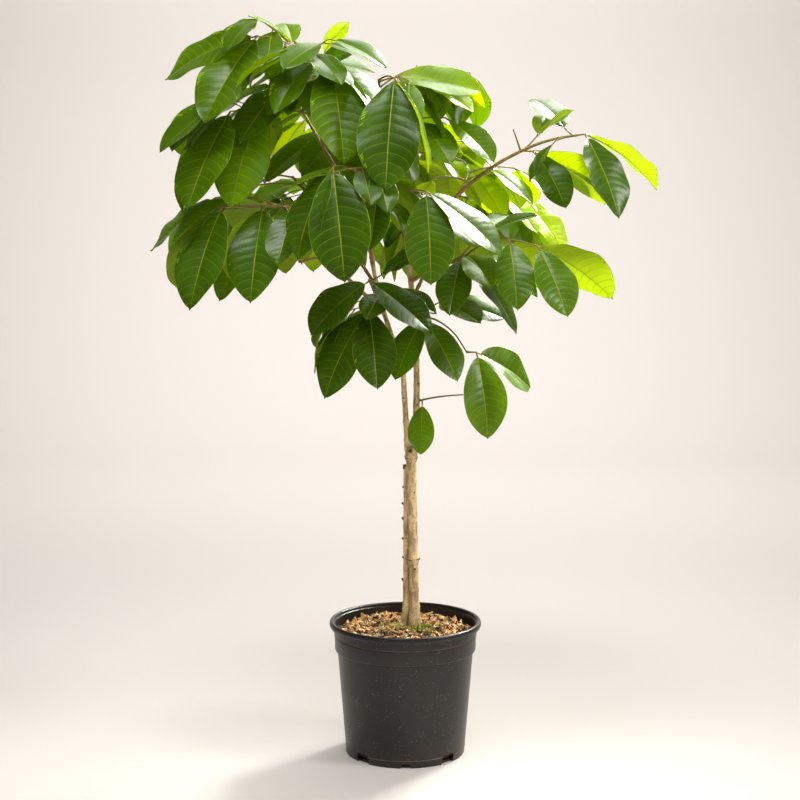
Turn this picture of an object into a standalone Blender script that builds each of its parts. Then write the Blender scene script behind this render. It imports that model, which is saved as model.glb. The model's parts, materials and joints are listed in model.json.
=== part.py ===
"""A potted rambutan sapling: nursery can, bark mix, stems, boughs and leafy masses.

Metres, +Z up. The origin is the centre of the can's flat underside and -Y is the front.
Every limb, twig and leaflet is grown from the named sizes below by the same few rules:
a limb leaves its parent at a heading and a rise and bends evenly along its length, a
compound leaf carries its leaflets in pairs along a rachis, and a leaflet that would touch
something already grown is turned a little, shortened a little, and left out at last.
"""

import math
import random
from dataclasses import dataclass

import bmesh
import bpy
from mathutils import Matrix, Vector
from mathutils.bvhtree import BVHTree

# ---------------------------------------------------------------- driving dimensions
CLEARANCE = 0.0003            # gap that touching solids keep

POT_HEIGHT = 0.243
POT_RIM_RADIUS = 0.1365
POT_BASE_RADIUS = 0.107
POT_WALL = 0.0020
POT_FLOOR = 0.0035
RIM_HEIGHT = 0.0125           # rolled bead round the mouth
RIM_ROLL = 0.0042
BAND_HEIGHT = 0.026           # stacking band under the bead
BAND_RADIUS = 0.1275          # its radius at the bead
BAND_STEP = 0.0040            # how far the wall steps in below the band
BASE_ROUND = 0.0050
BEAD_LIP = 0.0012             # small rounding under the bead
POT_SIDES = 48

NOTCH_COUNT = 8               # drainage notches round the base, wide and narrow by turns
NOTCH_WIDTHS = (0.014, 0.023)
NOTCH_HEIGHTS = (0.007, 0.015)
NOTCH_DEPTH = 0.011
NOTCH_REACH = 0.004           # a notch is centred this far outside the base

MIX_TOP = 0.2255              # level of the bark mix at the stems
MIX_DISH = 0.0045             # how far the mix falls towards the wall
MIX_FLAT = 0.040              # radius of its level middle
MIX_SLOPE = 0.085             # radius where it has fallen by a third

STEM_FOOT = (0.0170, 0.0120)
STEM_RADIUS = 0.0086
STEM_FLARE = 0.0058           # extra radius of the root flare at the mix
STEM_FLARE_HEIGHT = 0.022
STEM_HEIGHT = 0.3240
STEM_LEAN = (185.0, 88.8)     # heading and rise of the main stem
STEM_STEPS = 16
FOOT_CUT = 0.003              # each stem starts upright, so that its foot is cut level
FORK_SWELL = 0.0026
FORK_SWELL_HEIGHT = 0.020
FORK_SPREAD = 0.0058          # each leader's foot stands this far from the stem's axis
SIDE_STEM_HEIGHT = 0.2950
SIDE_STEM_RADII = (0.0064, 0.0036)
SIDE_STEM_BEARINGS = (183.0, 150.0)   # it winds a little round the main stem
SIDE_STEM_STEPS = 12
SIDE_STEM_FLARE = 0.35        # its share of the main stem's flare

STEM_ROUNDNESS = 3            # corners between a round limb's four quarter points
BOUGH_ROUNDNESS = 2
LIMB_STEPS = 8
TWIG_STEPS = 3
SIDE_SLICE = (0.31, 0.17, 0.94)       # a direction that no limb follows
PAIR_GAP = 0.050              # along a rachis from one pair of leaflets to the next
PETIOLULE = 0.009
RACHIS_RADII = (0.0022, 0.0015)
RACHIS_MARGIN = 0.001         # a rachis keeps this much further off its neighbours
RACHIS_TURN = 9.0             # degrees it turns aside at each try
FIRST_PAIR = 0.18             # nearest place to the stem that a pair may hold on a rachis

LEAF_WIDTH = 0.50             # widest breadth over length
LEAF_THICKNESS = 0.0022       # at the midrib
LEAF_STATIONS = (0.15, 0.48, 0.83)
STALK_RADIUS = 0.0013
LEAF_TAPER = (1.02, 0.66)     # shape of the outline: shift of its widest place, bluntness
LEAF_FOLD = 13.0              # each half lifts this many degrees from the midrib
LEAF_FOLD_SPREAD = 5.0
LEAF_BEND = 26.0              # the blade curves down by this much, foot to tip
LEAF_BEND_SPREAD = 9.0
FAN_PER_PAIR = 13.0           # inner pairs spread wider by this many degrees
FAN_SPREAD = 5.0
HANG_PER_PAIR = 0.08
SIZE_PER_PAIR = 0.07
SIZE_SPREAD = 0.05
LEAF_TURN = 8.0               # degrees a leaflet turns aside at each try
TRY_HANG = 0.06               # and how much lower it then hangs
TRY_SIZE = 0.97               # and how much smaller it then is
ROOT_SHARE = 0.18             # this much of a blade may touch its own mass
TRIES = 13
WELD = 0.00002                # corners closer than this are one
SHARP_ANGLE = 40.0


@dataclass(frozen=True)
class Limb:
    """A tapering limb that leaves its parent and bends evenly along its length."""

    name: str
    parent: str
    at: float                 # place along the parent, 1 at its tip
    heading: float            # degrees from +X towards +Y
    rise: float               # degrees above the level, at the foot
    length: float
    sag: float                # how many degrees the rise falls by the tip
    foot: float               # radii
    tip: float


@dataclass(frozen=True)
class Spray:
    """A compound leaf: a rachis with leaflets in pairs from its end inwards."""

    at: float                 # place along the mass's stem
    heading: float
    rise: float
    length: float
    sag: float
    leaflets: int
    blade: float              # length of the largest leaflet
    fan: float = 42.0         # angle between the rachis and its end leaflets
    roll: float = 0.0         # turn of the pairs about the rachis
    hang: float = 0.7         # pull of gravity on the leaflets
    gap: float = PAIR_GAP     # along the rachis from one pair to the next
    front: tuple = (0.15, 0.15)     # how far right and left blades face the front
    sizes: tuple = (1.0, 1.0)       # right and left blades against the largest


@dataclass(frozen=True)
class Mass:
    """A leafy shoot: one stem that grows on from a limb, and its compound leaves."""

    name: str
    stem: Limb
    sprays: tuple
    seed: int


STEMS = (
    Limb("right_leader", "main_stem", 1.0, 0, 86, 0.345, -12, 0.0058, 0.0048),
    Limb("left_leader", "main_stem", 1.0, 249, 80, 0.160, -1, 0.0053, 0.0046),
    Limb("left_leader_upper", "left_leader", 1.0, 184, 66, 0.200, -16, 0.0045, 0.0036),
)

BOUGHS = (
    Limb("left_bough", "left_leader_upper", 0.53, 210, 38, 0.252, -14, 0.0036, 0.0026),
    Limb("cut_stub", "left_bough", 0.56, 186, -8, 0.042, 8, 0.0024, 0.0020),
    Limb("right_bough", "right_leader", 0.97, 350, 67, 0.274, 42, 0.0042, 0.0028),
    Limb("right_middle_bough", "right_leader", 0.88, 300, 20, 0.115, 6, 0.0032, 0.0025),
    Limb("top_left_bough", "left_leader_upper", 1.0, 205, 72, 0.200, 16, 0.0034, 0.0028),
    Limb("top_right_bough", "right_leader", 1.0, 196, 80, 0.190, 4, 0.0038, 0.0028),
    Limb("front_bough", "left_leader_upper", 0.93, 262, 52, 0.150, 10, 0.0032, 0.0025),
    Limb("back_left_bough", "left_leader_upper", 0.72, 128, 42, 0.190, 8, 0.0032, 0.0025),
    Limb("back_right_bough", "right_leader", 0.80, 62, 44, 0.200, 10, 0.0034, 0.0026),
)

MASSES = (
    Mass("foliage_top", Limb("", "top_left_bough", 0.76, 193, 60, 0.172, 0, 0.0028, 0.0022), (
        Spray(1.00, 314, 40, 0.120, 44, 2, 0.185, fan=36, roll=20, hang=1.00, front=(0.3, 0.3)),
        Spray(0.97, 250, 20, 0.020, 10, 1, 0.145, fan=15, hang=0.80, front=(0.8, 0.8)),
        Spray(0.95, 340, 44, 0.045, 20, 1, 0.105, fan=10, hang=-0.10, front=(1.2, 1.2)),
        Spray(0.90, 10, 56, 0.080, 10, 1, 0.072, fan=20, hang=-0.40, front=(2.5, 2.5)),
        Spray(0.70, 350, 40, 0.120, 30, 4, 0.120, fan=40, hang=0.35, front=(0.4, 0.4)),
    ), 21),
    Mass("foliage_centre", Limb("", "front_bough", 1.0, 262, 42, 0.070, 0, 0.0025, 0.0022), (
        Spray(1.00, 240, 22, 0.080, 30, 2, 0.195, sizes=(0.8, 1.0), fan=42, roll=-20, hang=1.60,
              front=(0.5, 0.5)),
        Spray(0.95, 262, 20, 0.055, 20, 1, 0.105, fan=78, hang=0.10, front=(0.3, 0.3)),
        Spray(0.40, 300, 10, 0.060, 20, 2, 0.110, fan=40, hang=0.90),
    ), 51),
    Mass("foliage_upper_right", Limb("", "top_right_bough", 1.0, 262, 56, 0.140, 0, 0.0027, 0.0022), (
        Spray(1.00, 284, 10, 0.112, 20, 2, 0.200, fan=30, roll=25, hang=1.00, front=(0.2, -0.7)),
        Spray(0.98, 345, 20, 0.025, 10, 1, 0.145, fan=-6, hang=0.22, front=(0.8, 0.8)),
        Spray(0.55, 235, 20, 0.050, 20, 1, 0.150, fan=-30, hang=1.60, front=(0.5, 0.5)),
        Spray(0.90, 25, 36, 0.080, 20, 2, 0.100, fan=40, hang=0.25, front=(0.4, 0.4)),
        Spray(0.30, 0, 25, 0.110, 30, 4, 0.120, fan=40, hang=0.50, front=(0.4, 0.4)),
    ), 31),
    Mass("foliage_upper_left", Limb("", "top_left_bough", 1.0, 200, 78, 0.140, 0, 0.0028, 0.0022), (
        Spray(1.00, 205, 52, 0.105, 45, 2, 0.178, fan=32, roll=-40, hang=0.70, front=(0.9, 0.5)),
        Spray(0.42, 195, 12, 0.150, 20, 4, 0.195, fan=40, hang=0.92, front=(0.2, 0.2), gap=0.055),
        Spray(1.00, 160, 60, 0.045, 10, 3, 0.085, fan=40, hang=-0.15, front=(0.3, 0.3)),
        Spray(0.60, 130, 30, 0.120, 30, 4, 0.140, fan=45, hang=0.40, front=(0.4, 0.4)),
    ), 41),
    Mass("foliage_left", Limb("", "left_bough", 1.0, 200, 10, 0.025, 20, 0.0026, 0.0022), (
        Spray(1.00, 190, 2, 0.085, 6, 4, 0.180, fan=52, roll=-15, hang=0.95, front=(0.2, 0.2), gap=0.080),
        Spray(0.90, 186, -4, 0.090, 0, 1, 0.150, fan=-16, hang=0.75, front=(-0.3, -0.3)),
        Spray(0.60, 150, 20, 0.130, 30, 4, 0.150, fan=45, hang=0.35, front=(0.4, 0.4)),
        Spray(0.30, 300, 10, 0.050, 20, 2, 0.110, fan=45, hang=0.80, front=(0.3, 0.3)),
    ), 61),
    Mass("foliage_centre_right", Limb("", "front_bough", 0.80, 306, 30, 0.055, 0, 0.0025, 0.0020), (
        Spray(1.00, 312, 20, 0.104, 28, 4, 0.150, fan=42, roll=40, hang=0.95, front=(0.4, 0.4), gap=0.045),
    ), 71),
    Mass("foliage_right_tip", Limb("", "right_bough", 1.0, 345, 26, 0.100, 20, 0.0028, 0.0020), (
        Spray(1.00, 345, 8, 0.018, 0, 2, 0.185, sizes=(0.85, 1.0), fan=45, roll=35, hang=0.78,
              front=(0.3, 0.0)),
        Spray(0.97, 125, 30, 0.020, 0, 1, 0.115, fan=5, hang=-0.15, front=(0.5, 0.5)),
        Spray(0.80, 200, -20, 0.015, 0, 1, 0.080, fan=5, hang=0.60),
        Spray(0.06, 335, -8, 0.020, 0, 2, 0.175, sizes=(0.65, 1.0), fan=30, roll=20, hang=0.45,
              front=(0.8, -0.8)),
        Spray(0.10, 20, 45, 0.030, 0, 2, 0.070, fan=35, hang=-0.20, front=(0.5, 0.5)),
        Spray(0.02, 170, 70, 0.040, 0, 0, 0.080),
    ), 81),
    Mass("foliage_right_middle", Limb("", "right_middle_bough", 1.0, 300, 14, 0.040, 10, 0.0025, 0.0020), (
        Spray(1.00, 342, 46, 0.150, 68, 4, 0.150, sizes=(0.92, 1.05), fan=45, roll=20, hang=0.55,
              front=(0.3, -0.9)),
        Spray(0.80, 300, 20, 0.020, 0, 2, 0.155, sizes=(0.75, 1.0), fan=40, hang=1.00, front=(0.3, 0.3)),
        Spray(0.40, 20, 10, 0.060, 10, 2, 0.110, fan=35, hang=0.30, front=(0.4, 0.4)),
    ), 91),
    Mass("foliage_lower", Limb("", "left_leader_upper", 0.40, 241, 52, 0.095, 0, 0.0028, 0.0020), (
        Spray(1.00, 270, 5, 0.030, 10, 2, 0.135, fan=62, hang=0.50, front=(0.9, 0.9)),
        Spray(0.35, 245, 5, 0.045, 10, 2, 0.165, sizes=(1.0, 0.88), fan=40, hang=1.15, front=(0.9, 0.9)),
    ), 101),
    Mass("foliage_lower_right", Limb("", "right_leader", 0.66, 285, 30, 0.045, 0, 0.0026, 0.0020), (
        Spray(1.00, 275, -5, 0.035, 10, 2, 0.120, fan=42, hang=0.85, front=(0.6, 0.6)),
        Spray(0.90, 330, 35, 0.040, 10, 2, 0.115, fan=25, hang=0.45, front=(0.8, 0.8)),
    ), 111),
    Mass("foliage_low_right", Limb("", "right_leader", 0.70, 330, 0, 0.122, 62, 0.0020, 0.0015), (
        Spray(1.00, 340, 0, 0.018, 0, 2, 0.145, fan=60, roll=45, hang=0.95, front=(0.6, 1.6)),
    ), 121),
    Mass("foliage_low_sprig", Limb("", "right_leader", 0.26, 345, 14, 0.080, 10, 0.0018, 0.0012), (
        Spray(0.02, 280, 0, 0.016, 0, 1, 0.085, fan=20, hang=2.50),
    ), 131),
    Mass("foliage_right_inner", Limb("", "right_bough", 0.55, 70, 40, 0.060, 10, 0.0025, 0.0020), (
        Spray(0.90, 20, 20, 0.090, 30, 4, 0.105, fan=40, hang=0.45, front=(0.3, 0.3)),
        Spray(0.50, 200, 20, 0.060, 30, 2, 0.105, fan=40, hang=0.60, front=(0.3, 0.3)),
    ), 141),
    Mass("foliage_back_left", Limb("", "back_left_bough", 1.0, 128, 34, 0.120, 0, 0.0025, 0.0020), (
        Spray(1.00, 128, 10, 0.150, 40, 4, 0.160, hang=0.60, front=(-0.2, -0.2)),
        Spray(0.80, 190, 10, 0.150, 40, 4, 0.155, hang=0.40, front=(0.4, 0.4)),
        Spray(0.60, 70, 10, 0.150, 40, 4, 0.160, hang=0.60, front=(-0.2, -0.2)),
        Spray(0.30, 160, -10, 0.120, 30, 4, 0.150, hang=0.50, front=(0.4, 0.4)),
    ), 151),
    Mass("foliage_back_right", Limb("", "back_right_bough", 1.0, 62, 34, 0.120, 0, 0.0026, 0.0020), (
        Spray(1.00, 62, 10, 0.150, 40, 4, 0.160, hang=0.60, front=(-0.2, -0.2)),
        Spray(0.80, 20, 10, 0.100, 40, 4, 0.120, hang=0.40, front=(0.4, 0.4)),
        Spray(0.60, 120, 10, 0.150, 40, 4, 0.160, hang=0.60, front=(-0.2, -0.2)),
        Spray(0.30, 30, -10, 0.090, 30, 4, 0.130, hang=0.50, front=(0.4, 0.4)),
    ), 161),
    Mass("foliage_back_top", Limb("", "top_right_bough", 0.55, 80, 60, 0.140, 0, 0.0027, 0.0020), (
        Spray(1.00, 80, 30, 0.130, 40, 4, 0.150, hang=0.50, front=(-0.2, -0.2)),
        Spray(0.90, 160, 25, 0.140, 40, 4, 0.150, hang=0.40, front=(0.3, 0.3)),
        Spray(0.60, 20, 15, 0.120, 40, 4, 0.140, hang=0.40, front=(0.3, 0.3)),
    ), 171),
)


# ---------------------------------------------------------------- growth
def direction(heading, rise):
    """Unit vector at a heading and a rise, both in degrees."""
    level = math.cos(math.radians(rise))
    return Vector((level * math.cos(math.radians(heading)), level * math.sin(math.radians(heading)),
                   math.sin(math.radians(rise))))


def bent_path(start, heading, rise, length, sag, steps):
    """Points of a limb whose rise falls evenly by its sag."""
    points = [start.copy()]
    for step in range(steps):
        turned = rise - sag * (step + 0.5) / steps
        points.append(points[-1] + direction(heading, turned) * (length / steps))
    return points


def along(points, place):
    """Point and unit tangent at a place from 0 to 1 along evenly spaced points."""
    position = min(max(place, 0.0), 1.0) * (len(points) - 1)
    index = min(int(position), len(points) - 2)
    step = points[index + 1] - points[index]
    return points[index] + step * (position - index), step.normalized()


@dataclass
class Tube:
    """A grown limb or twig: its centre line and a radius at each point."""

    points: list
    radii: list

    def radius_at(self, place):
        """Radius at a place from 0 to 1."""
        position = min(max(place, 0.0), 1.0) * (len(self.radii) - 1)
        index = min(int(position), len(self.radii) - 2)
        share = position - index
        return self.radii[index] * (1.0 - share) + self.radii[index + 1] * share


@dataclass
class Leaflet:
    """One leaflet: its foot, its run, the way its upper face looks, and its shape."""

    foot: Vector
    run: Vector
    face: Vector
    length: float
    fold: float
    bend: float

    def midrib(self, place):
        """Point and run of the midrib at a place from 0 at the blade's foot to 1."""
        bend = math.radians(self.bend)
        turned = bend * place
        ahead = math.sin(turned) / bend
        down = (1.0 - math.cos(turned)) / bend
        point = self.foot + self.run * PETIOLULE + (self.run * ahead - self.face * down) * self.length
        return point, self.run * math.cos(turned) - self.face * math.sin(turned)


def half_width(place):
    """Half breadth of a blade at a place along it, as a share of its length."""
    return 0.5 * LEAF_WIDTH * math.sin(math.pi * place ** LEAF_TAPER[0]) ** LEAF_TAPER[1]


def blade_solid(leaf):
    """Corners and faces of a closed blade on its stalk, thickest along the midrib."""
    across = leaf.run.cross(leaf.face)
    lift = math.tan(math.radians(leaf.fold))
    rows = [(leaf.foot, leaf.face, STALK_RADIUS), (leaf.midrib(0.0)[0], leaf.face, STALK_RADIUS)]
    for place in LEAF_STATIONS:
        point, run = leaf.midrib(place)
        rows.append((point, across.cross(run), half_width(place) * leaf.length))
    corners = []
    for point, face, half in rows:
        thick = face * (LEAF_THICKNESS * 0.5)
        raised = face * (half * lift)
        corners.extend((point - across * half + raised, point + thick))
        corners.extend((point + across * half + raised, point - thick))
    corners.append(leaf.midrib(1.0)[0])
    tip = len(corners) - 1
    faces = [(0, 1, 2, 3)]
    for row in range(len(rows)):
        for side in range(4):
            near = row * 4 + side
            beside = row * 4 + (side + 1) % 4
            last = row == len(rows) - 1
            faces.append((near, tip, beside) if last else (near, near + 4, beside + 4, beside))
    return corners, faces


def prism(points, radii):
    """Corners and faces of a square tube along a path."""
    corners = []
    for index, point in enumerate(points):
        run = points[min(index + 1, len(points) - 1)] - points[max(index - 1, 0)]
        side = run.cross(Vector(SIDE_SLICE).cross(run)).normalized()
        other = run.cross(side).normalized()
        for spoke in (side, other, -side, -other):
            corners.append(point + spoke * radii[index])
    faces = []
    for ring in range(len(points) - 1):
        for spoke in range(4):
            near = ring * 4 + spoke
            beside = ring * 4 + (spoke + 1) % 4
            faces.append((near, beside, beside + 4, near + 4))
    return corners, faces


class Plant:
    """Everything grown so far, and the rule by which the next piece keeps clear of it."""

    def __init__(self):
        self.tubes = {}
        self.twigs = {}
        self.leaflets = {}
        self.grown = []

    def is_free(self, solid, own):
        """Whether a solid touches nothing that has been grown outside its own mass."""
        tree = BVHTree.FromPolygons(*solid)
        return all(name == own or not tree.overlap(other) for name, other in self.grown)

    def add(self, solid, name):
        """Keep a solid for later pieces to clear."""
        self.grown.append((name, BVHTree.FromPolygons(*solid)))

    def grow_stem(self):
        """The main stem, with its root flare and the swelling under its fork."""
        foot = Vector((*STEM_FOOT, MIX_TOP + CLEARANCE))
        points = bent_path(foot, *STEM_LEAN, STEM_HEIGHT, 0.0, STEM_STEPS)
        points.insert(1, foot + Vector((0.0, 0.0, FOOT_CUT)))
        radii = []
        for point in points:
            height = point.z - foot.z
            flare = STEM_FLARE * math.exp(-height / STEM_FLARE_HEIGHT)
            swell = FORK_SWELL * math.exp((height - STEM_HEIGHT) / FORK_SWELL_HEIGHT)
            radii.append(STEM_RADIUS + flare + swell)
        self.tubes["main_stem"] = Tube(points, radii)
        self.add(prism(points, radii), "main_stem")

    def grow_side_stem(self):
        """The thin pruned stem that hugs the main stem."""
        main = self.tubes["main_stem"]
        points = []
        radii = []
        for step in range(SIDE_STEM_STEPS + 1):
            share = step / SIDE_STEM_STEPS
            centre, _ = along(main.points, share * SIDE_STEM_HEIGHT / STEM_HEIGHT)
            radius = SIDE_STEM_RADII[0] + (SIDE_STEM_RADII[1] - SIDE_STEM_RADII[0]) * share
            radius += SIDE_STEM_FLARE * STEM_FLARE * math.exp(-share * SIDE_STEM_HEIGHT / STEM_FLARE_HEIGHT)
            reach = main.radius_at(share * SIDE_STEM_HEIGHT / STEM_HEIGHT) + radius + 2.0 * CLEARANCE
            bearing = SIDE_STEM_BEARINGS[0] + (SIDE_STEM_BEARINGS[1] - SIDE_STEM_BEARINGS[0]) * share
            points.append(centre + direction(bearing, 0.0) * reach)
            radii.append(radius)
            if step == 0:
                points.append(points[0] + Vector((0.0, 0.0, FOOT_CUT)))
                radii.append(radius)
        self.tubes["side_stem"] = Tube(points, radii)
        self.add(prism(points, radii), "side_stem")

    def grow_limb(self, limb, steps, name):
        """One limb, seated on its parent's tip or side."""
        parent = self.tubes[limb.parent]
        point, tangent = along(parent.points, limb.at)
        run = direction(limb.heading, limb.rise - 0.5 * limb.sag / steps)
        angle = tangent.angle(run)
        if limb.at >= 1.0:
            start = point + tangent * (CLEARANCE + limb.foot * math.sin(angle))
            if limb.parent == "main_stem":
                side = 1.0 if limb.name == "right_leader" else -1.0
                start += Vector((side * FORK_SPREAD, 0.0, 0.0))
        else:
            outward = (run - tangent * run.dot(tangent)).normalized()
            reach = parent.radius_at(limb.at) + CLEARANCE + limb.foot * abs(math.cos(angle))
            start = point + outward * reach
        points = bent_path(start, limb.heading, limb.rise, limb.length, limb.sag, steps)
        radii = [limb.foot + (limb.tip - limb.foot) * index / steps for index in range(steps + 1)]
        tube = Tube(points, radii)
        self.tubes[name] = tube
        self.add(prism(points, radii), name)
        return tube

    def grow_rachis(self, mass, spray):
        """The rachis of one compound leaf, turned aside where its first way is taken."""
        stem = self.tubes[mass.name]
        point, _ = along(stem.points, spray.at)
        for attempt in range(TRIES):
            turn = RACHIS_TURN * ((attempt + 1) // 2) * (-1.0) ** attempt
            points = bent_path(point, spray.heading + turn, spray.rise, spray.length, spray.sag, TWIG_STEPS)
            radii = [RACHIS_RADII[0] + (RACHIS_RADII[1] - RACHIS_RADII[0]) * step / TWIG_STEPS
                     for step in range(TWIG_STEPS + 1)]
            solid = prism(points, [radius + RACHIS_MARGIN for radius in radii])
            if self.is_free(solid, mass.name):
                self.add(solid, mass.name)
                self.twigs[mass.name].append(Tube(points, radii))
                return points
        return None

    def leaflet_at(self, spray, node, tangent, pair, side, dice, attempt):
        """A leaflet on a rachis, drooping from its pair."""
        level = Vector((tangent.x, tangent.y, 0.0)).normalized()
        across = tangent.cross(Vector((0.0, 0.0, 1.0))).normalized()
        across = Matrix.Rotation(math.radians(spray.roll), 3, tangent) @ across
        fan = math.radians(spray.fan + FAN_PER_PAIR * pair + dice[0] * FAN_SPREAD)
        spread = tangent * math.cos(fan) + across * (side * math.sin(fan))
        outward = Vector((spread.x, spread.y, 0.0))
        outward = outward.normalized() if outward.length > 0.15 else level
        turn = LEAF_TURN * ((attempt + 1) // 2) * (-1.0) ** attempt
        run = spread - Vector((0.0, 0.0, spray.hang + HANG_PER_PAIR * pair + TRY_HANG * attempt))
        run = (Matrix.Rotation(math.radians(turn), 3, "Z") @ run).normalized()
        dip = math.asin(max(-1.0, min(1.0, -run.z)))
        face = Vector((0.0, 0.0, math.cos(dip))) + outward * math.sin(dip)
        front = spray.front[0 if side > 0.0 else 1]
        face += Vector((0.0, -front, 0.25 * abs(front)))
        face = (face - run * face.dot(run)).normalized()
        length = spray.blade * spray.sizes[0 if side > 0.0 else 1] * (1.0 - SIZE_PER_PAIR * pair)
        length *= (1.0 + SIZE_SPREAD * dice[1]) * TRY_SIZE ** attempt
        fold = LEAF_FOLD + LEAF_FOLD_SPREAD * dice[2]
        return Leaflet(node, run, face, length, fold, LEAF_BEND + LEAF_BEND_SPREAD * dice[3])

    def grow_leaflets(self, mass, spray, points, dice):
        """The leaflets of one compound leaf, from its end inwards."""
        for number in range(spray.leaflets):
            pair = number // 2
            side = 1.0 if number % 2 == 0 else -1.0
            place = max(1.0 - pair * spray.gap / spray.length, FIRST_PAIR)
            node, tangent = along(points, place)
            rolls = [dice.uniform(-1.0, 1.0) for _ in range(4)]
            for attempt in range(TRIES):
                leaf = self.leaflet_at(spray, node, tangent, pair, side, rolls, attempt)
                start = leaf.midrib(ROOT_SHARE)[0]
                left = leaf.length * (1.0 - 1.5 * ROOT_SHARE)
                ahead = Leaflet(start, leaf.run, leaf.face, left, leaf.fold, leaf.bend)
                if self.is_free(blade_solid(leaf), mass.name) and self.is_free(blade_solid(ahead), ""):
                    self.add(blade_solid(leaf), mass.name)
                    self.leaflets[mass.name].append(leaf)
                    break


def grow_plant():
    """The whole plant: stems, boughs, then each mass's twigs, then all leaflets."""
    plant = Plant()
    plant.grow_stem()
    plant.grow_side_stem()
    for limb in STEMS + BOUGHS:
        plant.grow_limb(limb, LIMB_STEPS, limb.name)
    ways = []
    for mass in MASSES:
        plant.twigs[mass.name] = []
        plant.leaflets[mass.name] = []
        plant.grow_limb(mass.stem, TWIG_STEPS, mass.name)
    for mass in MASSES:
        for spray in mass.sprays:
            ways.append((mass, spray, plant.grow_rachis(mass, spray)))
    dice = {mass.name: random.Random(mass.seed) for mass in MASSES}
    for mass, spray, points in ways:
        if points is not None:
            plant.grow_leaflets(mass, spray, points, dice[mass.name])
    return plant


# ---------------------------------------------------------------- solids
def make_material(name, colour, roughness):
    """A plain Principled finish."""
    material = bpy.data.materials.new(name)
    material.use_nodes = True
    shader = material.node_tree.nodes["Principled BSDF"]
    shader.inputs["Base Color"].default_value = (*colour, 1.0)
    shader.inputs["Roughness"].default_value = roughness
    return material


def make_object(name, mesh, collection, material):
    """An object of a mesh, in a collection, with one material."""
    mesh.materials.clear()
    mesh.materials.append(material)
    made = bpy.data.objects.new(name, mesh)
    collection.objects.link(made)
    return made


def evaluated_mesh(source):
    """The mesh that an object's modifiers or curve make."""
    graph = bpy.context.evaluated_depsgraph_get()
    graph.update()
    return bpy.data.meshes.new_from_object(source.evaluated_get(graph))


def turned_object(name, profile, segments, collection, material):
    """A solid turned about Z from a profile that runs down its outer side."""
    mesh = bpy.data.meshes.new(name)
    corners = [(radius, 0.0, height) for radius, height in profile]
    mesh.from_pydata(corners, [(index, index + 1) for index in range(len(corners) - 1)], [])
    turned = make_object(name, mesh, collection, material)
    screw = turned.modifiers.new("turn", "SCREW")
    screw.angle = math.tau
    screw.steps = segments
    screw.render_steps = segments
    screw.use_merge_vertices = True
    screw.merge_threshold = 0.00001
    return turned


def apply_modifiers(target):
    """Replace an object's mesh by what its modifiers make of it."""
    mesh = evaluated_mesh(target)
    target.modifiers.clear()
    target.data = mesh


def arc(centre, radius, start, end, steps):
    """Points of an arc in the plane of a profile, angles in degrees."""
    points = []
    for step in range(steps + 1):
        angle = math.radians(start + (end - start) * step / steps)
        points.append((centre[0] + radius * math.cos(angle), centre[1] + radius * math.sin(angle)))
    return points


def wall_radius(height):
    """Outer radius of the can's plain wall, which flares evenly from the base."""
    top = BAND_RADIUS - BAND_STEP
    return POT_BASE_RADIUS + (top - POT_BASE_RADIUS) * height / (POT_HEIGHT - RIM_HEIGHT - BAND_HEIGHT)


def pot_profile():
    """Profile of the can: floor, inner wall, bead, band, outer wall and underside."""
    bead = POT_HEIGHT - RIM_ROLL
    band_foot = POT_HEIGHT - RIM_HEIGHT - BAND_HEIGHT
    bead_centre = POT_RIM_RADIUS - RIM_ROLL
    profile = [(0.0, POT_FLOOR), (wall_radius(POT_FLOOR) - POT_WALL, POT_FLOOR)]
    profile.append((wall_radius(band_foot) - POT_WALL, band_foot))
    profile.append((BAND_RADIUS - POT_WALL, band_foot + 0.5 * BAND_STEP))
    profile.append((BAND_RADIUS - POT_WALL + BEAD_LIP, bead))
    profile.extend(arc((bead_centre, bead), RIM_ROLL, 120.0, 0.0, 5))
    profile.append((POT_RIM_RADIUS, POT_HEIGHT - RIM_HEIGHT + BEAD_LIP))
    profile.append((POT_RIM_RADIUS - BEAD_LIP, POT_HEIGHT - RIM_HEIGHT))
    profile.append((BAND_RADIUS + 0.5 * BEAD_LIP, POT_HEIGHT - RIM_HEIGHT))
    profile.append((BAND_RADIUS, band_foot + 0.6 * BAND_STEP))
    profile.append((wall_radius(band_foot), band_foot - 0.4 * BAND_STEP))
    foot_centre = wall_radius(BASE_ROUND) - BASE_ROUND
    profile.extend(arc((foot_centre, BASE_ROUND), BASE_ROUND, 0.0, -90.0, 3))
    profile.append((0.0, 0.0))
    return profile


def make_pot(collection, cutters, material):
    """The nursery can, with drainage notches cut round its base."""
    pot = turned_object("pot", pot_profile(), POT_SIDES, collection, material)
    for index in range(NOTCH_COUNT):
        wide = index % 2
        angle = math.radians(-90.0 + 360.0 * index / NOTCH_COUNT)
        bpy.ops.mesh.primitive_cube_add(size=1.0)
        cutter = bpy.context.active_object
        cutter.name = f"notch_cutter_{index}"
        size = (2.0 * NOTCH_DEPTH, NOTCH_WIDTHS[wide], 2.0 * NOTCH_HEIGHTS[wide], 1.0)
        cutter.data.transform(Matrix.Diagonal(size))
        reach = POT_BASE_RADIUS + NOTCH_REACH
        cutter.location = (reach * math.cos(angle), reach * math.sin(angle), 0.0)
        cutter.rotation_euler = (0.0, 0.0, angle)
        cutter.hide_render = True
        cutter.display_type = "WIRE"
        for home in list(cutter.users_collection):
            home.objects.unlink(cutter)
        cutters.objects.link(cutter)
    cut = pot.modifiers.new("notches", "BOOLEAN")
    cut.operand_type = "COLLECTION"
    cut.collection = cutters
    cut.operation = "DIFFERENCE"
    return pot


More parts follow.
